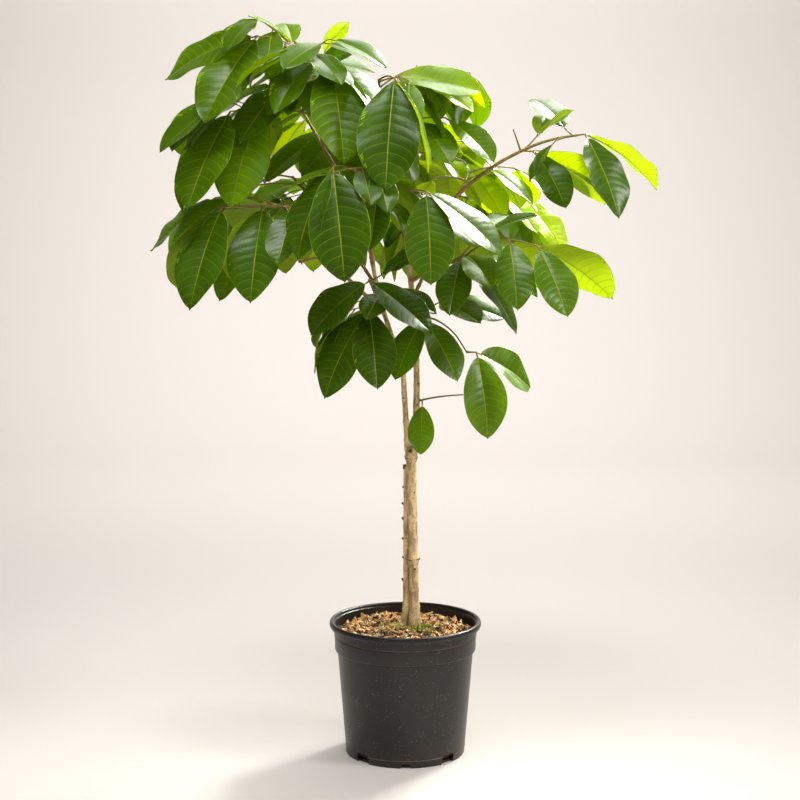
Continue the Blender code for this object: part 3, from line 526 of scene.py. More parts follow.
def blade_solid(leaf: Leaflet) -> Solid:
    """Make a coarse closed blade on its stalk, for testing what it touches.

    Args:
        leaf: the leaflet.

    Returns:
        Its corners and faces.
    """
    across = leaf.run.cross(leaf.face)
    lift = math.tan(math.radians(leaf.fold))
    rows = [(leaf.foot, leaf.face, STALK_RADIUS), (leaf.midrib(0.0)[0], leaf.face, STALK_RADIUS)]
    for place in LEAF_STATIONS:
        point, run = leaf.midrib(place)
        rows.append((point, across.cross(run), half_width(place) * leaf.length))
    corners = []
    for point, face, half in rows:
        thick = face * (LEAF_THICKNESS * 0.5)
        raised = face * (half * lift)
        corners.extend((point - across * half + raised, point + thick))
        corners.extend((point + across * half + raised, point - thick))
    corners.append(leaf.midrib(1.0)[0])
    tip = len(corners) - 1
    faces = [(0, 1, 2, 3)]
    for row in range(len(rows)):
        for side in range(4):
            near = row * 4 + side
            beside = row * 4 + (side + 1) % 4
            last = row == len(rows) - 1
            faces.append((near, tip, beside) if last else (near, near + 4, beside + 4, beside))
    return corners, faces


def prism(points: list[Vector], radii: list[float]) -> Solid:
    """Make a square tube along a path, for testing what it touches.

    Args:
        points: the path.
        radii: a radius for each point.

    Returns:
        Its corners and faces.
    """
    corners = []
    for index, point in enumerate(points):
        run = points[min(index + 1, len(points) - 1)] - points[max(index - 1, 0)]
        side = run.cross(Vector(SIDE_SLICE).cross(run)).normalized()
        other = run.cross(side).normalized()
        corners.extend(point + spoke * radii[index] for spoke in (side, other, -side, -other))
    faces = []
    for ring in range(len(points) - 1):
        for spoke in range(4):
            near = ring * 4 + spoke
            beside = ring * 4 + (spoke + 1) % 4
            faces.append((near, beside, beside + 4, near + 4))
    return corners, faces


@dataclass
class Plant:
    """Everything grown so far, and the rule by which the next piece keeps clear of it."""

    tubes: dict[str, Tube] = field(default_factory=dict)
    seats: dict[str, tuple[Vector, Vector]] = field(default_factory=dict)
    twigs: dict[str, list[Tube]] = field(default_factory=dict)
    leaflets: dict[str, list[Leaflet]] = field(default_factory=dict)
    fill_leaflets: dict[str, list[Leaflet]] = field(default_factory=dict)
    shown: list[Vector] = field(default_factory=list)
    grown: list[tuple[str, BVHTree]] = field(default_factory=list)

    def is_free(self, solid: Solid, own: str) -> bool:
        """Whether a solid touches nothing that has been grown outside its own shoot."""
        tree = BVHTree.FromPolygons(*solid)
        return all(name == own or not tree.overlap(other) for name, other in self.grown)

    def add(self, solid: Solid, name: str) -> None:
        """Keep a solid for later pieces to clear."""
        self.grown.append((name, BVHTree.FromPolygons(*solid)))

    def keep_limb(self, name: str, points: list[Vector], radii: list[float]) -> None:
        """Keep a limb under its name, and its solid for later pieces to clear."""
        self.tubes[name] = Tube(points, radii)
        self.add(prism(points, radii), name)

    def grow_stem(self) -> None:
        """Grow the main stem, with its root flare and the swelling under its fork."""
        foot = Vector((*STEM_FOOT, MIX_TOP + CLEARANCE))
        points = bent_path(foot, *STEM_LEAN, STEM_HEIGHT, 0.0, STEM_STEPS)
        points.insert(1, foot + Vector((0.0, 0.0, FOOT_CUT)))
        radii = []
        for point in points:
            height = point.z - foot.z
            flare = STEM_FLARE * math.exp(-height / STEM_FLARE_HEIGHT)
            swell = FORK_SWELL * math.exp((height - STEM_HEIGHT) / FORK_SWELL_HEIGHT)
            radii.append(STEM_RADIUS + flare + swell)
        self.keep_limb("main_stem", points, radii)

    def grow_side_stem(self) -> None:
        """Grow the thin pruned stem that hugs the main stem."""
        main = self.tubes["main_stem"]
        points, radii = [], []
        for step in range(SIDE_STEM_STEPS + 1):
            share = step / SIDE_STEM_STEPS
            place = share * SIDE_STEM_HEIGHT / STEM_HEIGHT
            centre, _ = along(main.points, place)
            radius = SIDE_STEM_RADII[0] + (SIDE_STEM_RADII[1] - SIDE_STEM_RADII[0]) * share
            radius += SIDE_STEM_FLARE * STEM_FLARE * math.exp(-share * SIDE_STEM_HEIGHT / STEM_FLARE_HEIGHT)
            reach = main.radius_at(place) + radius + 2.0 * CLEARANCE
            bearing = SIDE_STEM_BEARINGS[0] + (SIDE_STEM_BEARINGS[1] - SIDE_STEM_BEARINGS[0]) * share
            points.append(centre + direction(bearing, 0.0) * reach)
            radii.append(radius)
            if step == 0:
                points.append(points[0] + Vector((0.0, 0.0, FOOT_CUT)))
                radii.append(radius)
        self.keep_limb("side_stem", points, radii)

    def grow_limb(self, limb: Limb, steps: int, name: str) -> None:
        """Grow one limb, seated on its parent's tip or side.

        Args:
            limb: the limb's sizes.
            steps: how many straight steps it is made of.
            name: the name it is kept under.
        """
        parent = self.tubes[limb.parent]
        point, tangent = along(parent.points, limb.at)
        run = direction(limb.heading, limb.rise - 0.5 * limb.sag / steps)
        angle = tangent.angle(run)
        if limb.at >= 1.0:
            start = point + tangent * (CLEARANCE + limb.foot * math.sin(angle))
            if limb.parent == "main_stem":
                side = 1.0 if limb.name == "right_leader" else -1.0
                start += Vector((side * FORK_SPREAD, 0.0, 0.0))
        else:
            outward = (run - tangent * run.dot(tangent)).normalized()
            reach = parent.radius_at(limb.at) + CLEARANCE + limb.foot * abs(math.cos(angle))
            start = point + outward * reach
        points = bent_path(start, limb.heading, limb.rise, limb.length, limb.sag, steps)
        self.seats[name] = (point, tangent)
        self.keep_limb(name, points, tapered(limb.foot, limb.tip, steps))

    def grow_rachis(self, mass: Mass, spray: Spray) -> list[Vector] | None:
        """Grow the rachis of one compound leaf, turned aside where its first way is taken.

        Args:
            mass: the shoot it grows on.
            spray: the compound leaf.

        Returns:
            The rachis's points, or None where no way is free.
        """
        point, _ = along(self.tubes[mass.name].points, spray.at)
        radii = tapered(*RACHIS_RADII, TWIG_STEPS)
        for attempt in range(TRIES):
            heading = spray.heading + swung(RACHIS_TURN, attempt)
            points = bent_path(point, heading, spray.rise, spray.length, spray.sag, TWIG_STEPS)
            solid = prism(points, [radius + RACHIS_MARGIN for radius in radii])
            if self.is_free(solid, mass.name):
                self.add(solid, mass.name)
                self.twigs[mass.name].append(Tube(points, radii))
                return points
        return None

    def leaflet_at(self, spray: Spray, node: Vector, tangent: Vector, pair: int, side: float,
                   dice: list[float], attempt: int, tint: Tint) -> Leaflet:
        """Hang one leaflet from its pair on a rachis.

        Args:
            spray: the compound leaf.
            node: where the pair stands.
            tangent: the rachis's run there.
            pair: the pair's number from the end.
            side: 1 for the right-hand leaflet, -1 for the left-hand one.
            dice: four draws from -1 to 1.
            attempt: how many ways have been tried before.
            tint: the compound leaf's tint.

        Returns:
            The leaflet.
        """
        level = Vector((tangent.x, tangent.y, 0.0)).normalized()
        across = tangent.cross(Vector((0.0, 0.0, 1.0))).normalized()
        across = Matrix.Rotation(math.radians(spray.roll), 3, tangent) @ across
        fan = math.radians(spray.fan + FAN_PER_PAIR * pair + dice[0] * FAN_SPREAD)
        spread = tangent * math.cos(fan) + across * (side * math.sin(fan))
        outward = Vector((spread.x, spread.y, 0.0))
        outward = outward.normalized() if outward.length > STEEP_SPREAD else level
        run = spread - Vector((0.0, 0.0, spray.hang + HANG_PER_PAIR * pair + TRY_HANG * attempt))
        run = (Matrix.Rotation(math.radians(swung(LEAF_TURN, attempt)), 3, "Z") @ run).normalized()
        dip = math.asin(max(-1.0, min(1.0, -run.z)))
        face = Vector((0.0, 0.0, math.cos(dip))) + outward * math.sin(dip)
        front = spray.front[0 if side > 0.0 else 1]
        face += Vector((0.0, -front, FRONT_LIFT * abs(front)))
        face = (face - run * face.dot(run)).normalized()
        length = spray.blade * spray.sizes[0 if side > 0.0 else 1] * (1.0 - SIZE_PER_PAIR * pair)
        length *= (1.0 + SIZE_SPREAD * dice[1]) * TRY_SIZE ** attempt
        fold = LEAF_FOLD + LEAF_FOLD_SPREAD * dice[2]
        return Leaflet(node, run, face, length, fold, LEAF_BEND + LEAF_BEND_SPREAD * dice[3], tint)

    def grow_leaflets(self, mass: Mass, spray: Spray, points: list[Vector], dice: random.Random,
                      tints: tuple[Tint, Tint], tries: int,
                      fits: Callable[[Leaflet], bool]) -> list[Leaflet]:
        """Grow the leaflets of one compound leaf that find room, from its end inwards.

        Args:
            mass: the shoot it grows on.
            spray: the compound leaf.
            points: its rachis.
            dice: random draws.
            tints: the tints of the first and the second leaflet of each pair.
            tries: how many ways each leaflet tries.
            fits: whether a leaflet may hang where it does.

        Returns:
            The leaflets.
        """
        kept = []
        for number in range(spray.leaflets):
            pair, second = divmod(number, 2)
            node, tangent = along(points, max(1.0 - pair * spray.gap / spray.length, FIRST_PAIR))
            rolls = [dice.uniform(-1.0, 1.0) for _ in range(4)]
            for attempt in range(tries):
                leaf = self.leaflet_at(spray, node, tangent, pair, -1.0 if second else 1.0, rolls, attempt,
                                       tints[second])
                if fits(leaf) and self.is_free(blade_solid(leaf.beyond_root()), ""):
                    self.add(blade_solid(leaf), mass.name)
                    kept.append(leaf)
                    break
        return kept

    def grow_spray(self, mass: Mass, spray: Spray, points: list[Vector] | None, dice: random.Random,
                   tints: tuple[Tint, Tint]) -> None:
        """Grow one compound leaf's leaflets, clear of every other shoot.

        Args:
            mass: the shoot it grows on.
            spray: the compound leaf.
            points: its rachis, or None where it found no way.
            dice: random draws.
            tints: the tints of the first and the second leaflet of each pair.
        """
        if points is not None:
            self.leaflets[mass.name] += self.grow_leaflets(
                mass, spray, points, dice, tints, TRIES,
                lambda leaf: self.is_free(blade_solid(leaf), mass.name))

    def hides(self, leaf: Leaflet) -> bool:
        """Test whether a finer leaflet would hang close before a larger one.

        Args:
            leaf: the finer leaflet.

        Returns:
            True where it would hide it.
        """
        middle = leaf.midrib(0.5)[0]
        return any(middle.y < large.y + HIDE_DEPTH
                   and math.hypot(middle.x - large.x, middle.z - large.z) < HIDE_REACH
                   for large in self.shown)

    def grow_fill(self, mass: Mass, count: int, tint: Tint) -> None:
        """Carry a shoot on to more and finer compound leaves within its own solid's box.

        Args:
            mass: the shoot.
            count: how many compound leaves to try.
            tint: their tint.
        """
        low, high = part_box(mass.name)

        def fits(leaf: Leaflet) -> bool:
            """Whether a leaflet hides no larger one and lies inside the box."""
            return not self.hides(leaf) and all(low[axis] <= corner[axis] <= high[axis]
                                                for corner in blade_solid(leaf)[0] for axis in range(3))

        dice = random.Random(mass.seed + FILL_SEED)
        carriers = [self.tubes[mass.name]] + list(self.twigs[mass.name])
        radii = tapered(*FILL_RADII, TWIG_STEPS)
        for _ in range(count):
            carrier = dice.choice(carriers)
            foot, tangent = along(carrier.points, dice.uniform(*FILL_PLACES))
            heading = math.degrees(math.atan2(tangent.y, tangent.x)) + dice.uniform(*FILL_HEADINGS)
            spray = Spray(0.0, heading, dice.uniform(*FILL_RISES), dice.uniform(*FILL_LENGTHS),
                          dice.uniform(*FILL_SAGS), dice.choice(FILL_COUNTS), dice.uniform(*FILL_BLADES),
                          fan=dice.uniform(*FILL_FANS), hang=dice.uniform(*FILL_HANGS), gap=FILL_GAP,
                          front=(dice.uniform(*FILL_FRONTS), dice.uniform(*FILL_FRONTS)))
            points = bent_path(foot, heading, spray.rise, spray.length, spray.sag, TWIG_STEPS)
            if not self.is_free(prism(points, radii), mass.name):
                continue
            kept = self.grow_leaflets(mass, spray, points, dice, (tint, tint), FILL_TRIES, fits)
            if len(kept) > 1 and (kept[0].foot - points[-1]).length < END_REACH:
                self.add(prism(points, radii), mass.name)
                self.twigs[mass.name].append(Tube(points, radii))
                self.fill_leaflets[mass.name].extend(kept)
            else:
                del self.grown[len(self.grown) - len(kept):]


def grow_plant() -> Plant:
    """Grow the stems, the boughs, each shoot's twigs, all leaflets, and then the finer ones.

    Returns:
        The grown plant.
    """
    plant = Plant()
    plant.grow_stem()
    plant.grow_side_stem()
    for limb in STEMS + BOUGHS:
        plant.grow_limb(limb, LIMB_STEPS, limb.name)
    for mass in MASSES:
        for kept in (plant.twigs, plant.leaflets, plant.fill_leaflets):
            kept[mass.name] = []
        plant.grow_limb(mass.stem, TWIG_STEPS, mass.name)
    ways = []
    for mass in MASSES:
        tints = TINTS.get(mass.name, (Tint.MATURE,) * len(mass.sprays))
        for index, (spray, tint) in enumerate(zip(mass.sprays, tints)):
            # a paler tint where a leaflet's underside faces the front: partly its real pale underside, partly
            # painted light for the backlight through it
            second = BACKLIT_SECOND_TINTS.get((mass.name, index), tint)
            ways.append((mass, spray, plant.grow_rachis(mass, spray), (tint, second)))
    dice = {mass.name: random.Random(mass.seed) for mass in MASSES}
    for mass, spray, points, pair in ways:
        plant.grow_spray(mass, spray, points, dice[mass.name], pair)
    for leaves in plant.leaflets.values():
        plant.shown.extend(leaf.midrib(0.5)[0] for leaf in leaves
                           if leaf.face.y < SHOWN_FACE and leaf.length > SHOWN_LENGTH)
    for mass in MASSES:
        for index, (spray, tint) in enumerate(EXTRAS.get(mass.name, ())):
            plant.grow_spray(mass, spray, plant.grow_rachis(mass, spray),
                             random.Random(mass.seed + EXTRA_SEED + index), (tint, tint))
    for mass in MASSES:
        if mass.name in FILLS:
            plant.grow_fill(mass, *FILLS[mass.name])
    return plant


# ---------------------------------------------------------------- mesh and node helpers
def linear(code: str) -> tuple[float, float, float, float]:
    """Turn an sRGB hex colour to linear.

    Args:
        code: six hex digits.

    Returns:
        Linear red, green, blue and an alpha of 1.
    """
    values = []
    for place in (0, 2, 4):
        level = int(code[place:place + 2], 16) / 255.0
        values.append(level / 12.92 if level <= 0.04045 else ((level + 0.055) / 1.055) ** 2.4)
    return (*values, 1.0)


def feed(node: bpy.types.Node, inputs: dict) -> None:
    """Give a node's inputs their values and links.

    Args:
        node: the node.
        inputs: for each input, by name or number, a value (hex for a colour), the socket to
            link from, or a node, which stands for its first output in use.
    """
    for key, value in inputs.items():
        socket = node.inputs[key]
        if isinstance(value, bpy.types.Node):
            value = next(output for output in value.outputs if output.enabled)
        if isinstance(value, bpy.types.NodeSocket):
            node.id_data.links.new(value, socket)
        else:
            socket.default_value = linear(value) if socket.type == "RGBA" else value


def add_node(tree: bpy.types.NodeTree, kind: str, inputs: dict | None = None,
             **settings: object) -> bpy.types.Node:
    """Add a node with its settings, values and links.

    Args:
        tree: the tree it goes into.
        kind: the node's type.
        inputs: what its inputs are fed.
        **settings: the node's own properties.

    Returns:
        The node.
    """
    node = tree.nodes.new(kind)
    for name, value in settings.items():
        setattr(node, name, value)
    feed(node, inputs or {})
    return node


def new_material(name: str) -> tuple[bpy.types.Material, Adder, bpy.types.Node]:
    """Start a material.

    Args:
        name: what it is and how its surface was made.

    Returns:
        The material, its own way to add a node, and its shader.
    """
    material = bpy.data.materials.new(name)
    material.use_nodes = True
    tree = material.node_tree
    return material, partial(add_node, tree), tree.nodes["Principled BSDF"]


def new_object(name: str, data: bpy.types.ID) -> bpy.types.Object:
    """Put a new object into the scene.

    Args:
        name: the object's name.
        data: its mesh, light or camera.

    Returns:
        The object.
    """
    made = bpy.data.objects.new(name, data)
    bpy.context.scene.collection.objects.link(made)
    return made


def mesh_piece(name: str, corners: np.ndarray | list, faces: list, materials: list[bpy.types.Material],
               slots: list[int] | None = None) -> bpy.types.Object:
    """Make a smooth-shaded mesh object at the origin.

    Args:
        name: the object's name.
        corners: its corners, in metres.
        faces: its faces.
        materials: its material slots.
        slots: each face's slot; the first one where none are given.

    Returns:
        The object.
    """
    mesh = bpy.data.meshes.new(name)
    mesh.from_pydata(corners.tolist() if isinstance(corners, np.ndarray) else corners, [], faces)
    for material in materials:
        mesh.materials.append(material)
    if slots is not None:
        mesh.polygons.foreach_set("material_index", slots)
    mesh.shade_smooth()
    mesh.update()
    return new_object(name, mesh)


def dress(piece: bpy.types.Object, nodes: tuple[str, ...] = ()) -> None:
    """Put a piece on the root body.

    Args:
        piece: the piece.
        nodes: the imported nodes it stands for.
    """
    if nodes:
        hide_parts(*nodes)
    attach(piece, ROOT_BODY)
    LOG.info("%s: %d faces, stands for %s", piece.name, len(piece.data.polygons),
             ", ".join(nodes) or "nothing")


def evaluated_mesh(source: bpy.types.Object) -> bpy.types.Mesh:
    """Make the plain mesh that an object's modifiers give.

    Args:
        source: the object.

    Returns:
        The mesh.
    """
    graph = bpy.context.evaluated_depsgraph_get()
    graph.update()
    return bpy.data.meshes.new_from_object(source.evaluated_get(graph))


def grown_by_nodes(source: bpy.types.Object, tree: bpy.types.NodeTree, inputs: dict[str, object],
                   name: str) -> bpy.types.Object:
    """Run a Geometry Nodes tree on an object and keep the result as a plain mesh.

    Args:
        source: the object it starts from, which is removed.
        tree: the tree.
        inputs: values of the tree's named inputs.
        name: the new object's name.

    Returns:
        The new object.
    """
    modifier = source.modifiers.new("grow", "NODES")
    modifier.node_group = tree
    identifiers = {item.name: item.identifier for item in tree.interface.items_tree
                   if item.item_type == "SOCKET" and item.in_out == "INPUT"}
    for key, value in inputs.items():
        modifier[identifiers[key]] = value
    mesh = evaluated_mesh(source)
    bpy.data.objects.remove(source)
    mesh.name = name
    return new_object(name, mesh)


def new_tree(name: str, inputs: dict[str, str]) -> tuple[bpy.types.NodeTree, bpy.types.NodeOutputs]:
    """Start a Geometry Nodes tree that takes and gives geometry.

    Args:
        name: the tree's name.
        inputs: the socket type of each further input, by its name.

    Returns:
        The tree and the sockets that its inputs come in by.
    """
    tree = bpy.data.node_groups.new(name, "GeometryNodeTree")
    for label, kind in ({"Geometry": "Geometry"} | inputs).items():
        tree.interface.new_socket(label, in_out="INPUT", socket_type="NodeSocket" + kind)
    tree.interface.new_socket("Geometry", in_out="OUTPUT", socket_type="NodeSocketGeometry")
    return tree, add_node(tree, "NodeGroupInput").outputs


def limb_skin_tree() -> bpy.types.NodeTree:
    """Make the tree that gives centre lines a round, slightly rough skin of bark.

    Returns:
        A tree with inputs for sides, relief, grain and material.
    """
    tree, given = new_tree("limb_skin", {"Sides": "Int", "Relief": "Float", "Grain": "Float",
                                         "Material": "Material"})
    add = partial(add_node, tree)
    curve = add("GeometryNodeMeshToCurve", {"Mesh": given["Geometry"]})
    ring = add("GeometryNodeCurvePrimitiveCircle", {"Resolution": given["Sides"], "Radius": 1.0})
    radius = add("GeometryNodeInputNamedAttribute", {"Name": "radius"}, data_type="FLOAT")
    skin = add("GeometryNodeCurveToMesh", {"Curve": curve, "Profile Curve": ring, "Scale": radius,
                                           "Fill Caps": True})
    grain = add("ShaderNodeTexNoise", {"Vector": add("GeometryNodeInputPosition"), "Scale": given["Grain"],
                                       "Detail": 3.0, "Roughness": 0.6})
    centred = add("ShaderNodeMath", {0: grain, 1: 0.5}, operation="SUBTRACT")
    height = add("ShaderNodeMath", {0: centred, 1: given["Relief"]}, operation="MULTIPLY")
    push = add("ShaderNodeVectorMath", {0: add("GeometryNodeInputNormal"), "Scale": height},
               operation="SCALE")
    rough = add("GeometryNodeSetPosition", {"Geometry": skin, "Offset": push})
    smooth = add("GeometryNodeSetShadeSmooth", {"Geometry": rough, "Shade Smooth": True})
    real = add("GeometryNodeRealizeInstances", {"Geometry": smooth})
    painted = add("GeometryNodeSetMaterial", {"Geometry": real, "Material": given["Material"]})
    add("NodeGroupOutput", {"Geometry": painted})
    return tree


def scatter_tree() -> bpy.types.NodeTree:
    """Make the tree that strews a bed's upper faces with copies of one object.

    Returns:
        A tree with inputs for the copied object, density, gathering, tilt, sizes, seed and material.
    """
    tree, given = new_tree("strewn_litter", {
        "Piece": "Object", "Density": "Float", "Centre": "Vector", "Gather": "Float", "Tilt": "Float",
        "Smallest": "Float", "Largest": "Float", "Lift": "Float", "Seed": "Int", "Material": "Material"})
    add = partial(add_node, tree)
    upward = add("ShaderNodeSeparateXYZ", {0: add("GeometryNodeInputNormal")}).outputs["Z"]
    level = add("ShaderNodeMath", {0: upward, 1: 0.5}, operation="GREATER_THAN")
    reach = add("ShaderNodeVectorMath", {0: add("GeometryNodeInputPosition"), 1: given["Centre"]},
                operation="DISTANCE")
    near = add("ShaderNodeMath", {0: reach, 1: given["Gather"]}, operation="DIVIDE")
    fall = add("ShaderNodeMath", {0: near, 1: -1.0}, operation="MULTIPLY")
    share = add("ShaderNodeMath", {0: fall}, operation="EXPONENT")
    density = add("ShaderNodeMath", {0: share, 1: given["Density"]}, operation="MULTIPLY")
    points = add("GeometryNodeDistributePointsOnFaces", {
        "Mesh": given["Geometry"], "Selection": level, "Density": density, "Seed": given["Seed"]})
    raised = add("GeometryNodeSetPosition", {
        "Geometry": points, "Offset": add("ShaderNodeCombineXYZ", {"Z": given["Lift"]})})
    less = add("ShaderNodeMath", {0: given["Tilt"], 1: -1.0}, operation="MULTIPLY")
    draws = [add("FunctionNodeRandomValue", {2: low, 3: high, "Seed": seed}, data_type="FLOAT")
             for low, high, seed in ((less, given["Tilt"], 11), (less, given["Tilt"], 12),
                                     (0.0, math.tau, 13), (given["Smallest"], given["Largest"], 14))]
    turn = add("ShaderNodeCombineXYZ", dict(zip("XYZ", draws)))
    piece = add("GeometryNodeObjectInfo", {"Object": given["Piece"], "As Instance": True})
    strewn = add("GeometryNodeInstanceOnPoints", {
        "Points": raised, "Instance": piece.outputs["Geometry"], "Rotation": turn, "Scale": draws[3]})
    real = add("GeometryNodeRealizeInstances", {"Geometry": strewn})
    flat = add("GeometryNodeSetShadeSmooth", {"Geometry": real, "Shade Smooth": False})
    painted = add("GeometryNodeSetMaterial", {"Geometry": flat, "Material": given["Material"]})
    add("NodeGroupOutput", {"Geometry": painted})
    return tree


def smooth_path(points: list[Vector], radii: list[float], step: float) -> CentreLine:
    """Draw a smooth line through a path's points.

    Args:
        points: the path.
        radii: a radius for each point.
        step: how far apart the new points stand, about.

    Returns:
        The new points and their radii.
    """
    given = np.array([[*point, radius] for point, radius in zip(points, radii)])
    ends = np.vstack((2.0 * given[0] - given[1], given, 2.0 * given[-1] - given[-2]))
    rows = []
    for index in range(len(given) - 1):
        before, start, end, after = ends[index:index + 4]
        count = max(1, round(float(np.linalg.norm(end[:3] - start[:3])) / step))
        for part in np.arange(count) / count:
            rows.append(0.5 * (2.0 * start + (end - before) * part
                               + (2.0 * before - 5.0 * start + 4.0 * end - after) * part ** 2
                               + (3.0 * start - before - 3.0 * end + after) * part ** 3))
    line = np.array(rows + [given[-1]])
    return line[:, :3], np.maximum(line[:, 3], THINNEST)


def skinned(name: str, lines: list[CentreLine], tree: bpy.types.NodeTree, sides: int, relief: float,
            grain: float, material: bpy.types.Material) -> bpy.types.Object:
    """Give centre lines their skin.

    Args:
        name: the piece's name.
        lines: points and radii of each centre line.
        tree: the skin tree.
        sides: how many sides the skin has.
        relief: height of the bark's relief, in metres.
        grain: scale of the relief's noise, per metre.
        material: the skin's material.

    Returns:
        The piece.
    """
    edges = []
    start = 0
    for points, _ in lines:
        edges.extend((start + index, start + index + 1) for index in range(len(points) - 1))
        start += len(points)
    mesh = bpy.data.meshes.new(name + "_lines")
    mesh.from_pydata(np.vstack([points for points, _ in lines]).tolist(), edges, [])
    widths = mesh.attributes.new("radius", "FLOAT", "POINT")
    widths.data.foreach_set("value", np.concatenate([radii for _, radii in lines]))
    return grown_by_nodes(new_object(name + "_lines", mesh), tree,
                          {"Sides": sides, "Relief": relief, "Grain": grain, "Material": material}, name)


# ---------------------------------------------------------------- finishes
@dataclass(frozen=True)
class LeafSkin:
    """A waxy living leaf surface: a satin cuticle over green tissue that lets some light through."""

    name: str
    colour: str               # sRGB hex
    mottle: str               # what it drifts to over the blade
    glow: str                 # light that comes through it
    roughness: float
    coat: float               # weight of the wax
    through: float            # share of light that passes
    relief: float             # height of the fine net of veins, in metres

    MOTTLE_SCALE = 26.0       # patches about 40 mm across
    NET_SCALE = 420.0         # areoles about 2.4 mm across, a little coarser than real ones

    def build(self) -> bpy.types.Material:
        """Make the material.

        Returns:
            The material.
        """
        material, add, skin = new_material(self.name)
        place = add("ShaderNodeTexCoord").outputs["Object"]
        drift = add("ShaderNodeTexNoise", {"Vector": place, "Scale": self.MOTTLE_SCALE, "Detail": 3.0})
        share = add("ShaderNodeMapRange", {"Value": drift, "From Min": 0.35, "From Max": 0.65})
        tone = add("ShaderNodeMix", {0: share, 6: self.colour, 7: self.mottle}, data_type="RGBA")
        net = add("ShaderNodeTexVoronoi", {"Vector": place, "Scale": self.NET_SCALE},
                  feature="DISTANCE_TO_EDGE")
        soft = add("ShaderNodeMapRange", {"Value": net, "From Max": 0.25})
        bump = add("ShaderNodeBump", {"Height": soft, "Strength": 0.35, "Distance": self.relief})
        uneven = add("ShaderNodeMapRange", {"Value": drift, "To Min": self.roughness - 0.06,
                                            "To Max": self.roughness + 0.08})
        feed(skin, {"Base Color": tone, "Roughness": uneven, "Normal": bump, "IOR": 1.45,
                    "Specular IOR Level": 0.35, "Coat Weight": self.coat, "Coat Roughness": 0.22})
        glow = add("ShaderNodeBsdfTranslucent", {"Color": self.glow})
        blend = add("ShaderNodeMixShader", {0: self.through, 1: skin, 2: glow})
        feed(material.node_tree.nodes["Material Output"], {"Surface": blend})
        return material


@dataclass(frozen=True)
class Bark:
    """Smooth young bark: pale tan cork with darker flecks, lenticels and hairline cracks."""

    name: str
    colour: str
    shade: str
    fleck: str
    fleck_share: float        # from 0, clean, to 1, covered
    roughness: float = 0.78
    mossy_to: float = 0.0     # height up to which moss stains it

    DRAWN_OUT = (1.0, 1.0, 0.35)          # patches run up the limb
    PATCH_SCALE = 110.0       # patches about 9 mm across
    FLECK_SCALE = 800.0       # lenticels a little over 1 mm across
    CLUSTER_SCALE = 190.0     # gathered in clusters about 5 mm across
    CORK_SCALE = 900.0        # fine cork about 1 mm across
    CORK_RELIEF = 0.0004
    MOSS = "3c3e10"
    MOSS_FADE = 0.045

    def build(self) -> bpy.types.Material:
        """Make the material.

        Returns:
            The material.
        """
        material, add, shader = new_material(self.name)
        place = add("ShaderNodeTexCoord").outputs["Object"]
        drawn = add("ShaderNodeMapping", {"Vector": place, "Scale": self.DRAWN_OUT})
        patch = add("ShaderNodeTexNoise", {"Vector": drawn, "Scale": self.PATCH_SCALE, "Detail": 5.0,
                                           "Roughness": 0.65})
        share = add("ShaderNodeMapRange", {"Value": patch, "From Min": 0.44, "From Max": 0.60})
        tone = add("ShaderNodeMix", {0: share, 6: self.colour, 7: self.shade}, data_type="RGBA")
        spots = add("ShaderNodeTexVoronoi", {"Vector": drawn, "Scale": self.FLECK_SCALE})
        small = add("ShaderNodeMapRange", {"Value": spots, "From Min": 0.20, "From Max": 0.38,
                                           "To Min": 1.0, "To Max": 0.0})
        where = add("ShaderNodeTexNoise", {"Vector": place, "Scale": self.CLUSTER_SCALE, "Detail": 2.0})
        some = add("ShaderNodeMapRange", {"Value": where, "From Min": 0.62 - 0.3 * self.fleck_share,
                                          "From Max": 0.70 - 0.3 * self.fleck_share})
        marks = add("ShaderNodeMath", {0: small, 1: some}, operation="MULTIPLY")
        spotted = add("ShaderNodeMix", {0: marks, 6: tone, 7: self.fleck}, data_type="RGBA")
        height = add("ShaderNodeSeparateXYZ", {0: place}).outputs["Z"]
        low = add("ShaderNodeMapRange", {"Value": height, "From Min": self.mossy_to - self.MOSS_FADE,
                                         "From Max": self.mossy_to, "To Min": 1.0, "To Max": 0.0})
        stain = add("ShaderNodeMath", {0: low, 1: patch}, operation="MULTIPLY")
        stained = add("ShaderNodeMix", {0: stain, 6: spotted, 7: self.MOSS}, data_type="RGBA")
        fine = add("ShaderNodeTexNoise", {"Vector": drawn, "Scale": self.CORK_SCALE, "Detail": 4.0})
        high = add("ShaderNodeMath", {0: fine, 1: marks}, operation="ADD")
        bump = add("ShaderNodeBump", {"Height": high, "Strength": 0.7, "Distance": self.CORK_RELIEF})
        feed(shader, {"Base Color": stained, "Normal": bump, "Roughness": self.roughness})
        return material


